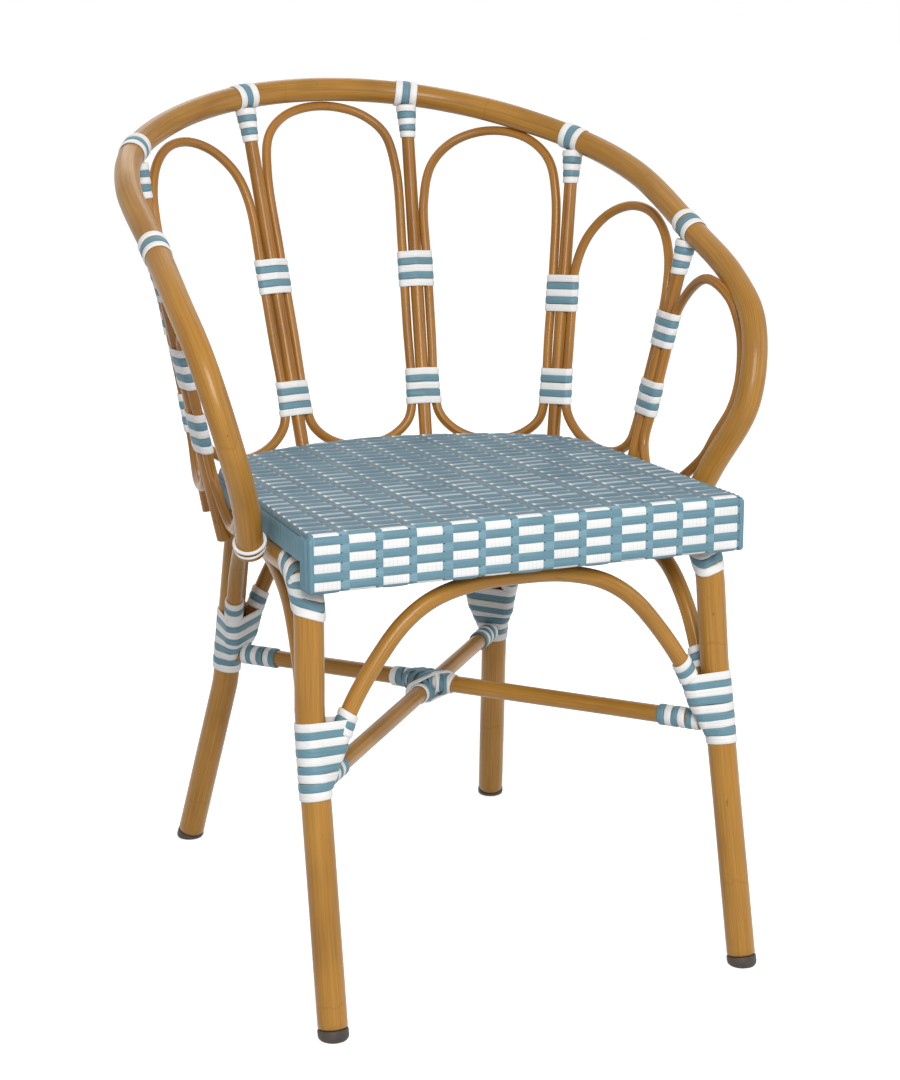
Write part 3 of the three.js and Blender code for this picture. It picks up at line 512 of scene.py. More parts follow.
half_lines = [spindle(k) for k in SPINDLE_KNOTS]
spins = [tuple(mir(v, -1) for v in half_lines[i]) for i in SPINDLE_ORDER[:3]] + half_lines
rod_gap = spin_r + petal_r + 2 * gap


def hshare(l, z):
    return (z - l[0][2]) / (l[1][2] - l[0][2])


def on(l, share):
    return l[0] + (l[1] - l[0]) * share


BOW = 8  # how far a petal's plane bows out at its foot


def between(L, R, share, off, bow_rise):
    """A point between two spindles: share of their length, off from the middle, on the bow."""
    a, b = on(L, share), on(R, share)
    ac = b - a
    out = unit(np.cross(L[2] + R[2], ac))
    pl = off / (norm(ac) / 2)
    bow = BOW + bow_rise * share
    return a + ac * (pl + 1) / 2 + out * bow * (1 - pl * pl)


def half_gap(L, R, share):
    return norm(on(L, share) - on(R, share)) / 2 - rod_gap


# Height of the petals' lowest point, height of their rounded foot, room at their top
PETAL_FLOOR, PETAL_FOOT, TOP_INSET = 443, 42, 1.4


def petal(L, R, top, skew, crown, bow_rise):
    """A closed loop of rod between two spindles: left flank, top, right flank, foot."""
    run = norm((L[0] + R[0]) / 2 - (L[1] + R[1]) / 2)
    bottom = (hshare(L, PETAL_FLOOR) + hshare(R, PETAL_FLOOR)) / 2
    tw = half_gap(L, R, top - half_gap(L, R, top) / run)
    t0 = top - tw / run
    foot = PETAL_FOOT / run
    l0 = bottom + foot
    lw = half_gap(L, R, l0)
    pts = []
    for i in range(3):
        s = l0 + (t0 - skew - l0) * i / 3
        pts.append(between(L, R, s, -half_gap(L, R, s), bow_rise))
    for i in range(8):
        a = pi * i / 7
        s = t0 + tw / run * max(sin(a), 0) ** crown - skew * cos(a)
        pts.append(between(L, R, s, -(tw - TOP_INSET) * cos(a), bow_rise))
    for i in (2, 1):
        s = l0 + (t0 + skew - l0) * i / 3
        pts.append(between(L, R, s, half_gap(L, R, s), bow_rise))
    for i in range(7):
        a = pi * i / 7
        pts.append(between(L, R, l0 - foot * sin(a), lw * cos(a), bow_rise))
    return pts


ARM_PETAL_UP = ((0.22, 2), (0.36, 0.8), (0.54, 0.8), (0.71, 3))  # share of the spindle, room
DOWN_FROM, DOWN_FOR = 6.9, 2.2  # first knot of the hoop that it runs beside, and for how many
ARM_PETAL_OFF = 2.4  # room to the hoop
ARM_PETAL_END = P(224, -70, 424)


def arm_petal(l, top, fuller):
    """A closed loop in front of an outermost spindle: up it, over, and down beside the hoop."""
    fwd = unit(P(0, -1, 0) + l[2] * l[2][1])
    pts = [on(l, share) + fwd * (rod_gap + room) for share, room in ARM_PETAL_UP] + [top]
    middle = on(l, 0.5)
    beside = []
    for i in range(6):
        c, d = hoop_at(DOWN_FROM + DOWN_FOR * i / 5)
        inw = middle - c
        inw = unit(inw - d * (inw @ d))
        beside.append(c + inw * (hoop_r + petal_r + ARM_PETAL_OFF))
    if fuller:
        shoulder_at = (top + beside[0]) / 2
        pts.append(shoulder_at + unit(shoulder_at - middle) * fuller)
    return pts + beside + [ARM_PETAL_END]


# Each petal between spindles: top share, skew to one side, crown exponent, extra bow at the top
PETAL_TOPS = ((0.914, -0.05, 1, 1), (0.96, -0.03, 1, 13), (0.986, 0, 0.75, 13),
              (0.97, 0.05, 0.8, 13), (0.928, 0.06, 1, 13))
petals = [[mir(p, -1) for p in arm_petal(spins[5], P(262, -86, 623), 0)]]
petals += [petal(spins[i], spins[i + 1], *shape) for i, shape in enumerate(PETAL_TOPS)]
petals.append(arm_petal(spins[5], P(262, -97, 637), 11))
petal_curves = [smooth_curve(p, 260, True) for p in petals]

front_foot, front_knee, shoulder = P(209, -294, 0), P(205.4, -231.5, 288), P(201, -222, ring_z)
rear_foot, rear_knee, rear_knot = P(182, 249, 0), P(156.6, 182.4, 196), 2.2
cap_len = 9.0


def leg_start(foot, knee):
    return foot + unit(knee - foot) * (cap_len + gap)


def bent(corners, eases, n=10):
    """A path through corners, each rounded over its ease."""
    pts = [corners[0]]
    for i in range(1, len(corners) - 1):
        c = corners[i]
        a = c + unit(corners[i - 1] - c) * eases[i - 1]
        b = c + unit(corners[i + 1] - c) * eases[i - 1]
        g, h = a + (c - a) * 0.55, b + (c - b) * 0.55
        for t in np.linspace(0, 1, n):
            pts.append(a * (1 - t) ** 3 + g * 3 * t * (1 - t) ** 2
                       + h * 3 * t * t * (1 - t) + b * t ** 3)
    pts.append(corners[-1])
    return np.array(pts)


front_path = bent([leg_start(front_foot, front_knee), front_knee, shoulder, ring_end], [8, 48])
rc, ro = ring_seat(rear_knot)
rear_top = rc + ro * (2 * pole_r + 2 * gap)
rear_top = rear_top + unit(rear_top - rear_knee) * (pole_r - gap)
rear_path = bent([leg_start(rear_foot, rear_knee), rear_knee, rear_top], [8])


def at_z(a, b, z):
    return a + (b - a) * (z - a[2]) / (b[2] - a[2])


def front_at(z, s):
    return mir(at_z(leg_start(front_foot, front_knee), front_knee, z), s)


def rear_at(z, s):
    return mir(at_z(rear_knee, rear_top, z), s)


# Half of an arch, from its foot to the crown: shares of the half span and of the rise
cross_sh = [(1, 0), (0.911, 0.29), (0.743, 0.608), (0.614, 0.788), (0.467, 0.908),
            (0.2625, 0.98), (0, 1)]
along_sh = [(1, 0), (0.91, 0.36), (0.81, 0.6), (0.65, 0.82), (0.45, 0.93), (0.22, 0.985), (0, 1)]
arch_foot, arch_crown, arch_saddle = 245.5, 400.0, 1


def arch(leg_a, sa, leg_b, sb, shares, lean):
    fa, fb = leg_a(arch_foot, sa), leg_b(arch_foot, sb)
    ac = fb - fa
    ac = unit(P(ac[0], ac[1], 0))
    off = pole_r + arch_r - arch_saddle
    fa, fb = fa + ac * off, fb - ac * off
    mid, half = (fa + fb) / 2, (fb - fa) / 2
    rise = P(0, lean, arch_crown - arch_r - arch_foot)
    pts = [mid - half * x + rise * z for x, z in shares]
    pts += [mid + half * x + rise * z for x, z in shares[-2::-1]]
    return smooth_curve(pts, 200)


arches = {
    "front_arch": arch(front_at, -1, front_at, 1, cross_sh, 10),
    "rear_arch": arch(rear_at, -1, rear_at, 1, cross_sh, -10),
    "side_arch_left": arch(front_at, -1, rear_at, -1, along_sh, 0),
    "side_arch_right": arch(front_at, 1, rear_at, 1, along_sh, 0),
}
z_low, z_high = 221.5, 229.0  # the two stretchers

# Poles and rods
WOBBLE = 0.008
UV_STEP = 1.37  # moves each pole's grain along
pole_count = 0


def pole_piece(name, pts, radius, node, mat=POLE, sides=28, closed=False, ease=True,
               slot="rattan"):
    global pole_count
    pole_count += 1
    if ease and not closed:
        pts, radius = rounded_ends(pts, radius)
    b = Build()
    rings = tube_rings(pts, radius, sides, closed, WOBBLE, pole_count)
    b.skin(rings, closed=closed, v0=pole_count * UV_STEP)
    b.make(name, [mat], [node], slot)


pole_piece("hoop_pole", smooth_curve(hoop_pts, 320), hoop_r, "back_hoop")
for i, (foot, top, d) in enumerate(spins):
    path = line(foot, top - d * hoop_r * 0.8, 50)  # ends in the hoop
    pole_piece(f"spindle_pole_{i + 1}", path, spin_r, f"spindle_{i + 1}", ROD, 24)
for i, c in enumerate(petal_curves):
    pole_piece(f"petal_rod_{i + 1}", c, petal_r, f"petal_{i + 1}", ROD, 16, True,
               slot="rattan_dark")
for s, side in SIDES:
    for where, path in (("front", front_path), ("rear", rear_path)):
        path = densify(np.array([mir(p, s) for p in path]))
        pole_piece(f"{where}_leg_pole_{side}", path, pole_r, f"{where}_leg_{side}")
pole_piece("rear_rail_pole", smooth_curve(ring_pts, 110), pole_r, "rear_rail", ease=False)
for name, c in arches.items():
    pole_piece(f"{name}_pole", c, arch_r, name, sides=20)


STRETCHER_IN = 8


def stretcher(s, z):
    """Ends of a stretcher, a little way in from the middle lines of its legs."""
    a, b = front_at(z, s), rear_at(z, -s)
    d = unit(b - a)
    return a + d * STRETCHER_IN, b - d * STRETCHER_IN


for name, s, z in (("stretcher_lower", -1, z_low), ("stretcher_upper", 1, z_high)):
    a, b = stretcher(s, z)
    pole_piece(f"{name}_pole", line(a, b, 80), str_r, name, sides=20, ease=False)


# Strip wraps. SEC is a strip's section: shares of its width and thickness.
SEC = np.array([(-0.5, 0.0), (-0.5, 0.55), (-0.4, 0.88), (-0.2, 1.0),
                (0.2, 1.0), (0.4, 0.88), (0.5, 0.55), (0.5, 0.0)])
THICK = 1.25


def frame_of(along, across):
    along = unit(along)
    a = unit(across - along * (across @ along))
    return along, a, np.cross(along, a)


def circle(n):
    return [2 * pi * k / n for k in range(n)]


def uneven(tilt, turn=(0, PHASE), thick=None):
    """Tilt, its direction, thickness and grain of one turn of strip, drawn in this order."""
    drawn = {"tilt": rnd.uniform(*tilt), "turn": rnd.uniform(*turn)}
    if thick:
        drawn["thick"] = THICK + rnd.uniform(*thick)
    drawn["v0"] = rnd.random()
    return drawn


def wrap_ring(b, rounds, along, across, mat, width, thick=THICK, lift=0.15, tilt=0.0, turn=0.0,
              steps=44, v0=0.0):
    """One closed turn of flat strip round the hull of some circles.

    A circle is its centre, its radius and, if its rod isn't parallel to along, the rod's lean."""
    al, a, c = frame_of(along, across)
    rings = []
    for th in circle(steps):
        n = a * cos(th) + c * sin(th)
        best = max(rounds, key=lambda r: r[0] @ n + r[1])
        lean = best[2] @ n if len(best) > 2 else 0
        p = best[0] + n * (best[1] + lift) + al * (tilt * cos(th - turn))
        rings.append([p + (al + n * lean) * (sx * width) + n * (sh * thick) for sx, sh in SEC])
    b.skin(rings, mat, closed=True, v0=v0)


def closed_strip(b, places, normals, width, mat):
    """A flat strip along a closed path."""
    rings = []
    for p, n, ti in zip(places, normals, tangents(np.array(places), True)):
        n = unit(n - ti * (n @ ti))
        across = np.cross(n, ti)
        rings.append([p + across * (sx * width) + n * (sh * THICK) for sx, sh in SEC])
    b.skin(rings, mat, closed=True, v0=rnd.random())


def nearest_cross(curve, centre, d, closed=True):
    """Where a curve crosses the plane through centre, square to d, nearest to centre."""
    h = (curve - centre) @ d
    best = None
    for i in range(len(curve) - (not closed)):
        j = (i + 1) % len(curve)
        if h[i] * h[j] <= 0 and h[i] != h[j]:
            p = curve[i] + (curve[j] - curve[i]) * h[i] / (h[i] - h[j])
            if best is None or norm(p - centre) < norm(best - centre):
                best = p
    return best


def bind(b, what, which):
    """Makes a binding of blue and white strip."""
    b.make(f"{what}_wrap_{which}", [WHITE, TEAL], [f"{what}_binding_{which}"], "blue_strip")


# Bindings on the spindles: heights of their middles and pitch of their bands
SPINDLE_TURN = (1.2, 1.9)
HEIGHTS = {"upper": [571, 597, 620, 621, 597, 578],
           "lower": [508.5, 500, 495.5, 499, 499, 508.5]}
PITCHES = [7.8, 7.8, 7.4, 7.8, 7.8, 7.2]
for i, l in enumerate(spins):
    for label in ("upper", "lower"):
        b = Build()
        mid = hshare(l, HEIGHTS[label][i]) * norm(l[1] - l[0])
        for k in range(5):
            c = l[0] + l[2] * (mid + (k - 2) * PITCHES[i])
            left = nearest_cross(petal_curves[i], c, l[2])
            right = nearest_cross(petal_curves[i + 1], c, l[2])
            rounds = [(c, spin_r), (left, petal_r), (right, petal_r)]
            wrap_ring(b, rounds, l[2], right - left, k % 2, PITCHES[i] - 0.1,
                      **uneven((0.5, 1.1), SPINDLE_TURN, (-0.15, 0.2)))
        bind(b, label, i + 1)

# Bindings at the hoop: three bands round the hoop, then a tapering neck on the spindle
HOOP_PITCH, HOOP_BAND, NECK_BAND, NECK_AT = 7.7, 7.6, 7.0, 4.2
NECK_LIFTS = (2.8, 2.1, 1.4, 0.8, 0.3)
for i, l in enumerate(spins):
    b = Build()
    knot = SPINDLE_KNOTS[SPINDLE_ORDER[i]] * (1 if l[1][0] > 0 else -1)
    t = (HK + knot) / (2 * HK)
    ax = hoop_at(knot)[1]
    branch = -l[2]
    for k, off in enumerate((-HOOP_PITCH, 0.0, HOOP_PITCH)):
        p, d = place(hoop_pts, t + off / hoop_length)
        wrap_ring(b, [(p, hoop_r)], d, branch, k % 2, HOOP_BAND, lift=0.3, **uneven((0.1, 0.5)))
    for k, lift in enumerate(NECK_LIFTS):
        c = l[1] + branch * (hoop_r + NECK_AT + k * NECK_BAND)
        wrap_ring(b, [(c, spin_r)], branch, ax, k % 2, NECK_BAND, lift=lift, steps=36,
                  **uneven((0.6, 1.3), SPINDLE_TURN))
    bind(b, "hoop", i + 1)

# Leg bindings: nine bands, a collar on each arch foot, and the stretcher's end
LEG_TOP, LEG_BOTTOM, LEG_BANDS, LEG_BAND = 278.5, 210.5, 9, 7.95
TAPER_FROM, TAPER_TO = 247, 206  # the arch's side of a binding tapers in between these heights
COLLAR_AT, COLLAR_LOW = 35, 24.5  # way along the arch to its collar, and at the front left
COLLAR_AIM = 250  # height on the leg that the collars face
END_AT, END_BAND = 23, 7.2  # way along a stretcher to its first band, and width of its bands
SMALL_PITCH, SMALL_BAND = 7.0, 6.9


def beside_leg(leg, near, z, ax):
    """Centre and radius of the arch's foot beside the leg at a height, tapering in below it."""
    c = leg(z)
    p = nearest_cross(near[:100], c, ax, False)
    if p is None:
        p = near[0] + (c - leg(arch_foot))
    if z >= TAPER_FROM:
        return p, arch_r
    fade = max(0.0, (z - TAPER_TO) / (TAPER_FROM - TAPER_TO))
    return c + (p - c) * (0.25 + 0.75 * fade), arch_r * (0.5 + 0.5 * fade)


def from_foot(curve, c):
    """The arch's curve, starting at its foot near c."""
    return curve if norm(curve[0] - c) < norm(curve[-1] - c) else curve[::-1]


def leg_wrap(where, side, s, z_end, own, other, collar):
    def leg(z):
        return own(z, s)

    b = Build()
    ax = unit(leg(LEG_TOP) - leg(LEG_BOTTOM))
    faced = leg(COLLAR_AIM)
    feet = [arches[f"{where}_arch"], arches[f"side_arch_{side}"]]
    towards = unit(other(z_end, -s) - leg(z_end))
    for k in range(LEG_BANDS):
        z = LEG_BOTTOM + (LEG_TOP - LEG_BOTTOM) * (k + 0.5) / LEG_BANDS
        c = leg(z)
        rounds = [(c, pole_r)]
        for curve in feet:
            near = from_foot(curve, c)
            (p, r), (up, _), (down, _) = (beside_leg(leg, near, h, ax) for h in (z, z + 2, z - 2))
            rounds.append((p, r, (up - down - leg(z + 2) + leg(z - 2)) / 4))
        wrap_ring(b, rounds, ax, -towards, k % 2, LEG_BAND, steps=64,
                  **uneven((0.2, 0.9), thick=(-0.2, 0.2)))
    for curve in feet:
        near = from_foot(curve, faced)
        d = run_of(near)
        for k in range(3):
            at = collar + k * SMALL_PITCH
            p = point_on(near, d, at)
            wrap_ring(b, [(p, arch_r)], point_on(near, d, at + 2) - p, faced - p, k % 2,
                      SMALL_BAND, thick=1.6, lift=0.3, tilt=1.6, steps=32, v0=rnd.random())
    for k in range(6):
        p = leg(z_end) + towards * (END_AT + k * SMALL_PITCH)
        wrap_ring(b, [(p, str_r)], towards, P(0, 0, 1), k % 2, END_BAND, thick=1.7, lift=0.25,
                  steps=32, **uneven((0.4, 1.6)))
    bind(b, f"{where}_leg", side)


# Seat corners: nested bands from the leg's front round both sides of the bend to the rail's top.
# Each has its height on the leg, its place along the rail, and its turn round the pole in degrees.
CORNER_BANDS = ((374.5, -177, 118), (381.2, -185, 104), (387.4, -193, 90), (393, -201, 76),
                (398.5, -209, 62))
LEG_PART, RAIL_PART = (340, -190), 395  # bounds of the leg's part and the rail's part
CORNER_RISE, CORNER_BAND = 3.4, 7.9
CORNER_LIFT, CORNER_STEP = 0.3, 0.12  # off the pole, and a step more for each band
for s, side in SIDES:
    fz, rz = (z_low, z_high) if s < 0 else (z_high, z_low)
    leg_wrap("front", side, s, fz, front_at, rear_at, COLLAR_LOW if s < 0 else COLLAR_AT)
    leg_wrap("rear", side, s, rz, rear_at, front_at, COLLAR_AT)
    b = Build()
    path = densify(np.array([mir(p, s) for p in front_path]), 2.0)
    run = run_of(path)
    on_leg = (path[:, 2] > LEG_PART[0]) & (path[:, 1] < LEG_PART[1])
    on_rail = path[:, 2] > RAIL_PART
    for k, (z_front, y_rear, degrees) in enumerate(CORNER_BANDS):
        s0 = np.interp(z_front + s, path[on_leg, 2], run[on_leg])
        s1 = np.interp(y_rear, path[on_rail, 1], run[on_rail])
        half = []
        for u in np.linspace(0, 1, 25):
            turn = radians(degrees) * sin(pi * u) ** 0.55
            part = 3 * u * u - 2 * u ** 3
            half.append((s0 + (s1 - s0) * part, turn, CORNER_RISE * sin(turn) * (1 - part)))
        loop = [(a + rise, c) for a, c, rise in half]
        loop += [(a - rise, -c) for a, c, rise in half[-2:0:-1]]
        places, normals = [], []
        for at, turn in loop:
            d = unit(point_on(path, run, at + 1) - point_on(path, run, at - 1))
            out = P(s, 0, 0)
            out = unit(out - d * (d @ out))
            n = np.cross(out, d) * s * cos(turn) + out * sin(turn)
            off = pole_r + CORNER_LIFT + CORNER_STEP * k
            places.append(point_on(path, run, at) + n * off)
            normals.append(n)
        closed_strip(b, places, normals, CORNER_BAND, k % 2)
    bind(b, "corner", side)

# Crossing: bands on the arms of the joint, then turns round both stretchers
b = Build()
la, lb = stretcher(-1, z_low)
ha, hb = stretcher(1, z_high)
lowdir, highdir = unit(lb - la), unit(hb - ha)
cross = la + (lb - la) * (-la[0] / (lb[0] - la[0]))
# height and direction of each arm, then its bands: distance from the middle and colour
ARM_BANDS = (
    (z_low, -lowdir, ((24.5, 0),)),
    (z_low, lowdir, ((20, 0), (26.8, 1))),
    (z_high, -highdir, ((15, 0), (21.2, 1), (27.6, 0))),
    (z_high, highdir, ((20.5, 0), (27.3, 1), (34.1, 0))),
)
for z, d, bands in ARM_BANDS:
    for far, m in bands:
        wrap_ring(b, [(P(0, cross[1], z) + d * far, str_r)], d, P(0, 0, 1), m, SMALL_BAND, lift=0.5,
                  steps=32, **uneven((0.8, 1.8)))


CROSS_HALF = 5.5  # half the length of a stretcher that a turn takes in


def crossing_band(off, m, lengthwise, lift, width=7.3):
    """A turn round both stretchers in the plane x = off, or y = off when lengthwise."""
    rounds = []
    for z, d in ((z_low, lowdir), (z_high, highdir)):
        slope = d[0] / d[1] if lengthwise else d[1] / d[0]
        for e in (-CROSS_HALF, CROSS_HALF):
            q = off * slope + e
            at = P(q, off, z) + P(0, cross[1], 0) if lengthwise else P(off, q + cross[1], z)
            rounds.append((at, str_r))
    axis, across = (P(0, 1, 0), P(1, 0, 0)) if lengthwise else (P(1, 0, 0), P(0, 1, 0))
    wrap_ring(b, rounds, axis, across, m, width, lift=lift, **uneven((0.3, 0.9)))


for off in (-9, -2.1, 4.8):
    crossing_band(off, 1, True, 0.2)
for off, m in ((-6.8, 1), (-1.1, 1), (4.6, 0), (10.3, 1)):
    crossing_band(off, m, False, 0.5, 5.6)
for off, m in ((-12.5, 0), (-5.6, 1), (1.3, 1), (8.2, 1)):
    crossing_band(off, m, True, 1.6)
b.make("crossing_wrap", [WHITE, TEAL], ["crossing_binding"], "white_strip")

# Cords round the hoop's ends: place along the hoop, distance from its middle, cord radius
TIP_CORDS = ((2.0, hoop_r + 1.7, 1.7), (8.5, hoop_r + 1.2, 1.2))
TIP_KNOT, CORD_TILT, CORD_TURN = HK - 0.3, 1.8, 0.5
for s, side in SIDES:
    b = Build()
    c, d = (mir(v, s) for v in hoop_at(TIP_KNOT))
    _, a, e = frame_of(d, P(s, 0, 0))
    for off, rad, w in TIP_CORDS:
        pts = []
        for th in circle(48):
            at = c + d * (off + CORD_TILT * cos(th + CORD_TURN))
            pts.append(at + rad * (a * cos(th) + e * sin(th)))
        b.skin(tube_rings(pts, w, 10, True), closed=True)
    b.make(f"tip_cord_{side}", [WHITE], [f"tip_lashing_{side}"], "white_strip")

# Foot caps: flat on the floor and turning into the leg's line. Each ring is a height and a radius.
CAP_RINGS = ((0.0, 9.0), (0.0, 11.2), (0.5, 12.8), (1.8, 13.9), (3.4, 14.25), (8.0, 14.25),
             (8.8, 14.0), (9.1, 13.2))
for s, side in SIDES:
    for where, foot, knee in (("front", front_foot, front_knee), ("rear", rear_foot, rear_knee)):
        ax, a, e = frame_of(mir(knee - foot, s), P(1, 0, 0))
        base = mir(foot, s)
        rows = []
        for h, r in CAP_RINGS:
            w = min(1.0, h / CAP_RINGS[-1][0] * 1.25)
            ring = []
            for th in circle(36):
                flat = P(base[0] + r * cos(th), base[1] + r * sin(th), h)
                leaning = base + ax * h + r * (a * cos(th) + e * sin(th))
                q = flat * (1 - w) + leaning * w
                ring.append(P(q[0], q[1], max(q[2], 0.0)))
            rows.append(ring)
        b = Build()
        b.skin(rows)
        b.make(f"foot_{where}_{side}", [BLACK], [f"foot_cap_{where}_{side}"], "foot_cap")

# Woven seat. Rows run across, STARTS gives where each column of blocks begins along X.
ROW, ROW_AT, BLOCK = 8.17, -0.57, 24.5
STARTS = [-243.0, -210.5, -177.5, -146.0, -114.0, -79.5, -48.0, -15.5, 19.5, 52.0, 88.0, 120.0,
          151.0, 184.0, 217.5]
DOT = 4.5  # length of the white dash that shows of a block on the top
FLAT_X, FRONT_R = 210.5, 4.5  # half width of the flat front, rounding of its upright corners
EDGE, SIDE_R, LIP_R = 6.0, 5.0, 4.0  # rounding of the front, side and lower edges
APRON_Z, UNDER, RETURN = 403.0, 12, 17  # the apron's lower edge, then its way back and up again
LIP_Z = APRON_Z + LIP_R
CREASE = 0.25  # depth of the creases below the cover's surface
SIDE_LINES = (0, 0.9, 2.6)  # the sheet's lines beside its edge
SIDE_IN, BORDER = 5.2, 3.0  # where the weave's lines end, width of the blue border
REAR_IN, SIDE_RELIEF = 0.4, 1.1  # room at the rear, relief over the rounded side
HOLE_LONG, HOLE_FROM = 2, 0.4  # length of a dark patch of painted shade standing for a hole in the weave, and its side's share off the row's middle
C_WHITE, C_TEAL, C_PAINTED_HIGHLIGHT, C_HOLE_PAINTED_SHADE, C_TOP_WHITE_PAINTED_SHADE, C_TOP_TEAL_PAINTED_SHADE = range(6)  # order of seat_mats
ON_TOP_PAINTED_SHADE = (C_TOP_WHITE_PAINTED_SHADE, C_TOP_TEAL_PAINTED_SHADE, C_TOP_TEAL_PAINTED_SHADE, C_HOLE_PAINTED_SHADE)  # darker copies for the seat's top, painted shade, for the first four
tilt_a = asin((seat_hw - corner_R) / (rear_R - corner_R))
rear_cy = seat_rear - rear_R
corner_y = rear_cy + (rear_R - corner_R) * cos(tilt_a)
turn_y = corner_y + corner_R * cos(tilt_a)
top_front = seat_front + EDGE


def half_width(y):
    if y <= corner_y:
        return seat_fhw + (seat_hw - seat_fhw) * (y - seat_front) / (corner_y - seat_front)
    if y <= turn_y:
        return seat_hw - corner_R + sqrt(max(corner_R ** 2 - (y - corner_y) ** 2, 0))
    return sqrt(max(rear_R ** 2 - (y - rear_cy) ** 2, 0))


def inside(x, y):
    """Distance from the seat's outline."""
    x = abs(x)
    if y <= corner_y:
        return half_width(y) - x
    if atan2(x - (seat_hw - corner_R), y - corner_y) > tilt_a:
        return corner_R - hypot(x - (seat_hw - corner_R), y - corner_y)
    return rear_R - hypot(x, y - rear_cy)


def profile(s):
    """Place and normal in the YZ plane at a way s down the front.

    s is 0 in the middle of the rounded top edge and negative on the top."""
    q = EDGE * pi / 4
    if s < -q:
        return P(top_front + (-q - s), seat_z), P(0, 1)
    if s <= q:
        a = (s + q) / EDGE
        at = P(top_front - EDGE * sin(a), seat_z - EDGE + EDGE * cos(a))
        return at, P(-sin(a), cos(a))
    s -= q
    down = seat_z - EDGE - LIP_Z
    if s < down:
        return P(seat_front, seat_z - EDGE - s), P(-1, 0)
    s -= down
    arc = LIP_R * pi / 2
    if s < arc:
        a = s / LIP_R
        at = P(seat_front + LIP_R - LIP_R * cos(a), LIP_Z - LIP_R * sin(a))
        return at, P(-cos(a), -sin(a))
    s -= arc
    if s < UNDER:
        return P(seat_front + LIP_R + s, APRON_Z), P(0, -1)
    s -= UNDER
    if s < arc:
        a = s / LIP_R
        at = P(seat_front + LIP_R + UNDER + LIP_R * sin(a), LIP_Z - LIP_R * cos(a))
        return at, P(sin(a), -cos(a))
    s -= arc
    return P(seat_front + 2 * LIP_R + UNDER, LIP_Z + s), P(1, 0)


def weave_height(x, s):
    """Relief of the weave, with the column and row it is in."""
    c = max(i for i, start in enumerate(STARTS) if start <= x)
    f = x - STARTS[c]
    rr = (s - ROW_AT) / ROW
    r = int(rr // 1)
    crown = 1 - (2 * (rr - r) - 1) ** 2
    over = (c + r) % 2 == 0
    if f >= BLOCK:
        across = sin(pi * (f - BLOCK) / (STARTS[c + 1] - STARTS[c] - BLOCK))
        return (0.75 if over else 0.35) * across * crown ** 0.5 - CREASE, c, r
    bulge = sin(pi * f / BLOCK) ** 0.4 if f > 0 else 0
    if r < -1 and over:
        h = 0.2 * crown - (0.75 if f < DOT else 1.15)
    elif r < -1:
        h = crown ** 0.6 * (0.5 + 0.95 * bulge) - 0.4
    elif over:
        h = 0.3 * crown ** 0.5 + 0.2 * bulge - CREASE
    else:
        h = crown ** 0.7 * (0.5 + 0.75 * bulge) - CREASE
    return h, c, r


def cell_mats(s_vals, x_rows, edge_rows):
    """Material of each cell of the sheet; beyond a row's edge everything is teal."""
    out = np.full((len(s_vals) - 1, len(x_rows[0]) - 1), C_TEAL)
    for i in range(len(s_vals) - 1):
        sm = (s_vals[i] + s_vals[i + 1]) / 2
        part = (sm - ROW_AT) / ROW % 1
        for j in range(len(x_rows[i]) - 1):
            xm = (x_rows[i][j] + x_rows[i][j + 1]) / 2
            _, c, r = weave_height(xm, sm)
            f = xm - STARTS[c]
            if abs(xm) < edge_rows[i] and (c + r) % 2 == 0:
                # in a white row the gap past the block gets the lighter blue copy, a painted
                # highlight
                out[i, j] = C_WHITE if f < BLOCK else C_PAINTED_HIGHLIGHT
                # a short dark patch just past the block, near the row's edges: painted shade for a
                # hole
                if BLOCK < f < BLOCK + HOLE_LONG and abs(part - 0.5) > HOLE_FROM:
                    out[i, j] = C_HOLE_PAINTED_SHADE
            # on the top every cell but a white block's first dash takes the darker copy, painted
            # shade
            if r < -1 and not (out[i, j] == C_WHITE and f < DOT):
                out[i, j] = ON_TOP_PAINTED_SHADE[out[i, j]]
    return out


# Where the sheet's lines lie: within a column in mm, within a row as shares
COLUMN_LINES = [0.0, 0.7, 3.0, 8.0, 12.25, 16.5, 21.5, 23.8, BLOCK, 26.6, 28.6, 30.4]
ROW_LINES = [0.0, 0.1, 0.25, 0.5, 0.75, 0.9]
xs_pattern = [start + f for start in STARTS[:-1] for f in COLUMN_LINES]
xs_pattern = [x for x in xs_pattern if abs(x) < FLAT_X + 0.01]

# Top: from the head of the apron over the rounded edge to the rear
seat = Build()
first_row = ROW_AT + ROW
lowest = -(seat_rear - seat_front - EDGE + EDGE * pi / 4) + REAR_IN
s_list = [first_row - (r + v) * ROW for r in range(60) for v in ROW_LINES]
s_list = [s for s in s_list if s > lowest] + [lowest]
pts, uv, edges = [], [], []
for s in s_list:
    (py, pz), (ny, nz) = profile(s)
    w = half_width(max(py, top_front))
    inner = [min(max(x, SIDE_IN - w), w - SIDE_IN) for x in xs_pattern]
    xs = [e - w for e in SIDE_LINES] + inner + [w - e for e in SIDE_LINES[::-1]]
    row_p, row_uv = [], []
    for x in xs:
        h = weave_height(x, s)[0]
        d = max(inside(x, py), 0.0) if py > top_front else max(w - abs(x), 0)
        drop = SIDE_R - sqrt(max(SIDE_R ** 2 - (SIDE_R - min(d, SIDE_R)) ** 2, 0))
        if d < SIDE_R:
            h = (1 - (2 * (((s - ROW_AT) / ROW) % 1) - 1) ** 2) * SIDE_RELIEF - CREASE
        row_p.append((x, py + ny * h, pz + nz * h - drop * nz))
        row_uv.append((s * MM, x * MM))
    pts.append(row_p)
    uv.append(row_uv)
    edges.append(w - BORDER)
x_rows = [[p[0] for p in row] for row in pts]
seat.grid(np.array(pts), np.array(uv), cell_mats(s_list, x_rows, edges))

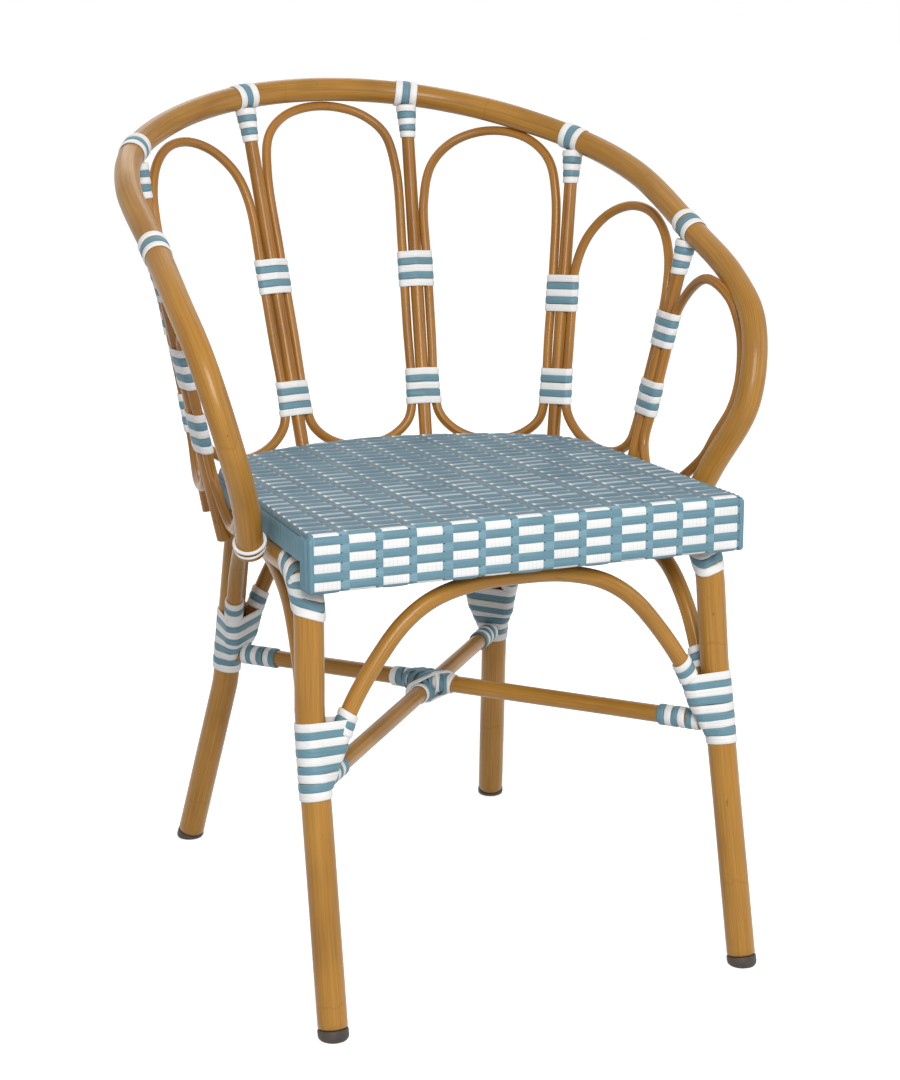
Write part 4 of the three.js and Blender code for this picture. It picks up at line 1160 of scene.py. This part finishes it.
# Apron: from the top's first row down the front, under and up the back
total = EDGE * pi / 4 + (seat_z - EDGE - LIP_Z) + LIP_R * pi + UNDER + RETURN
s_list = [first_row + (r + v) * ROW for r in range(20) for v in ROW_LINES]
s_list = [s for s in s_list if s < total] + [total]
xs = xs_pattern + [FLAT_X]
pts, uv = [], []
for s in s_list:
    (py, pz), (ny, nz) = profile(s)
    heights = [weave_height(x, s)[0] for x in xs]
    pts.append([(x, py + ny * h, pz + nz * h) for x, h in zip(xs, heights)])
    uv.append([(s * MM, x * MM) for x in xs])
cells = cell_mats(s_list, [xs] * len(s_list), [FLAT_X] * len(s_list))
seat.grid(np.array(pts), np.array(uv), cells, flip=True)

# Side and rear wall: its strands run downwards
WALL_FROM = 19  # where the side wall starts, behind the front
FRONT_END = 15.5  # depth of the apron's ends beside it
STRAND_LINES = (0, 0.12, 0.3, 0.5, 0.7, 0.88)
outline = []
for t in np.linspace(0, 1, 400):
    y = seat_front + WALL_FROM + (corner_y - seat_front - WALL_FROM) * t
    outline.append((half_width(y), y))
for a in np.linspace(0, pi / 2 - tilt_a, 160)[1:]:
    outline.append((seat_hw - corner_R + corner_R * cos(a), corner_y + corner_R * sin(a)))
for a in np.linspace(tilt_a, 0, 240)[1:]:
    outline.append((rear_R * sin(a), rear_cy + rear_R * cos(a)))
outline = np.array(outline)


def wall(b, path, z_top, z_bottom, pitch, under, amp=1.1):
    """A wall of upright strands along a path seen from above; its foot turns in by under."""
    d = run_of(path)
    n_str = round(d[-1] / pitch)
    pitch = d[-1] / n_str
    ts = sorted({(k + v) * pitch for k in range(n_str) for v in STRAND_LINES} | {d[-1]})
    xy = np.stack([np.interp(ts, d, path[:, 0]), np.interp(ts, d, path[:, 1])], 1)
    tg = np.gradient(xy, axis=0)
    tg /= norm(tg, axis=1)[:, None]
    nor = np.stack([-tg[:, 1], tg[:, 0]], 1)
    # height, offset and share of the strands' relief at each level
    levels = [(z_top, -0.2, 0.3), (z_top - 2, 0.25, 1), (z_top - 6, 0.3, 1)]
    levels += [(z_top - 6 - (z_top - 6 - z_bottom - 3) * k / 4, 0.3, 1) for k in range(1, 5)]
    levels += [(z_bottom + 1, -0.3, 0.9), (z_bottom, -1.6, 0.7), (z_bottom, -under, 0.4)]
    rows_p, rows_uv = [], []
    for z, off, k in levels:
        rp = []
        for (x, y), (nx, ny), t in zip(xy, nor, ts):
            v = (t / pitch) % 1 if t < d[-1] - 1e-6 else 0
            h = off + amp * k * (1 - (2 * v - 1) ** 2)
            rp.append((x + nx * h, y + ny * h, z))
        rows_p.append(rp)
        rows_uv.append([(t * MM, z * MM) for t in ts])
    cells = np.full((len(levels) - 1, len(ts) - 1), C_TEAL)
    b.grid(np.array(rows_p), np.array(rows_uv), cells, flip=True)


both = np.vstack([outline * [-1, 1], outline[::-1][1:]])
wall(seat, both, seat_z - 5.0, seat_z - panel_t, ROW, 9.0)
for s in (-1, 1):
    arc = [(FLAT_X + FRONT_R * sin(a), seat_front + FRONT_R - FRONT_R * cos(a))
           for a in np.linspace(0, pi / 2, 24)]
    arc += [(FLAT_X + FRONT_R, seat_front + FRONT_R + k) for k in np.linspace(0, FRONT_END, 10)[1:]]
    arc = np.array(arc)
    if s < 0:
        arc = (arc * [-1, 1])[::-1]
    wall(seat, arc[::-1], seat_z - 2.5, APRON_Z, 5.6, 6.0, 2.1)
seat_mats = [WEAVE_WHITE, TEAL, TEAL_PAINTED_HIGHLIGHT, HOLE_PAINTED_SHADE, TOP_WHITE_PAINTED_SHADE, TOP_TEAL_PAINTED_SHADE]
seat.make("woven_seat", seat_mats, ["seat_weave"], "seat_weave", merge=2e-5)

# The hidden frame keeps its CAD shape
for n in ("seat_frame", "cross_bar_1", "cross_bar_2"):
    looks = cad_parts[n].data.materials
    looks.clear()
    looks.append(WOOD)

# Stage, light and camera, in metres
FLOOR_HALF, FLOOR_GLOW = 30.0, 0.62
me = bpy.data.meshes.new("floor")
corners = [(x * FLOOR_HALF, y * FLOOR_HALF, 0) for x, y in ((-1, -1), (1, -1), (1, 1), (-1, 1))]
me.from_pydata(corners, [], [(0, 1, 2, 3)])
floor = show("floor", me)
fm, nt, fb = new_mat("floor")
fb.inputs["Roughness"].default_value = 0.9
fb.inputs["Emission Color"].default_value = (1, 1, 1, 1)
seen = seen_rays(nt)
nt.links.new(calc(nt, "MULTIPLY", seen, FLOOR_GLOW), fb.inputs["Emission Strength"])
nt.links.new(mixc(nt, seen, (0.42, 0.42, 0.43), (0.93, 0.93, 0.94)), fb.inputs["Base Color"])
me.materials.append(fm)

AMBIENT, SEEN = 0.46, 1.0
world = bpy.data.worlds.new("studio")
scene.world = world
world.use_nodes = True
wn = world.node_tree
bg = wn.nodes["Background"]
level = add(wn, "Mix", A=AMBIENT, B=SEEN)
wn.links.new(seen_rays(wn), level.inputs["Factor"])
wn.links.new(level.outputs["Result"], bg.inputs["Strength"])
bg.inputs["Color"].default_value = (1, 1, 1, 1)

LAMP_TARGET = Vector((0, 0, 0.45))
LAMPS = (  # name, place, size and power
    ("key", (-0.85, -3.05, 2.1), (1.3, 1.3), 80),
    ("fill", (2.8, -1.6, 1.5), (1.6, 1.6), 18),
    ("back", (0.6, 2.6, 2.4), (2.0, 1.2), 14),
)
for name, at, size, power in LAMPS:
    lamp = bpy.data.lights.new(name, "AREA")
    lamp.shape = "RECTANGLE"
    lamp.size, lamp.size_y = size
    lamp.energy = power
    aim(show(name, lamp), at, LAMP_TARGET - Vector(at))

# The camera was fitted to the photograph: focal length and shifts in its pixels
PHOTO_H, FOCAL_PX, SHIFT_X_PX, SHIFT_Y_PX, SENSOR = 1080, 2329.0, -13.15, -21.36, 36.0
AZIMUTH, ELEVATION, DISTANCE = radians(-23.0013), radians(12.8542), 2.2486
CAM_TARGET = Vector((0, -0.0981, 0.4178))
cam = bpy.data.cameras.new("camera")
cam.sensor_fit = "VERTICAL"
cam.sensor_height = SENSOR
cam.lens = FOCAL_PX / PHOTO_H * SENSOR
cam.shift_x = SHIFT_X_PX / PHOTO_H
cam.shift_y = SHIFT_Y_PX / PHOTO_H
cam.clip_end = 100
co = show("camera", cam)
flat = cos(ELEVATION)
back = Vector((sin(AZIMUTH) * flat, -cos(AZIMUTH) * flat, sin(ELEVATION)))
aim(co, CAM_TARGET + back * DISTANCE, -back)
scene.camera = co
scene.view_settings.view_transform = "Standard"
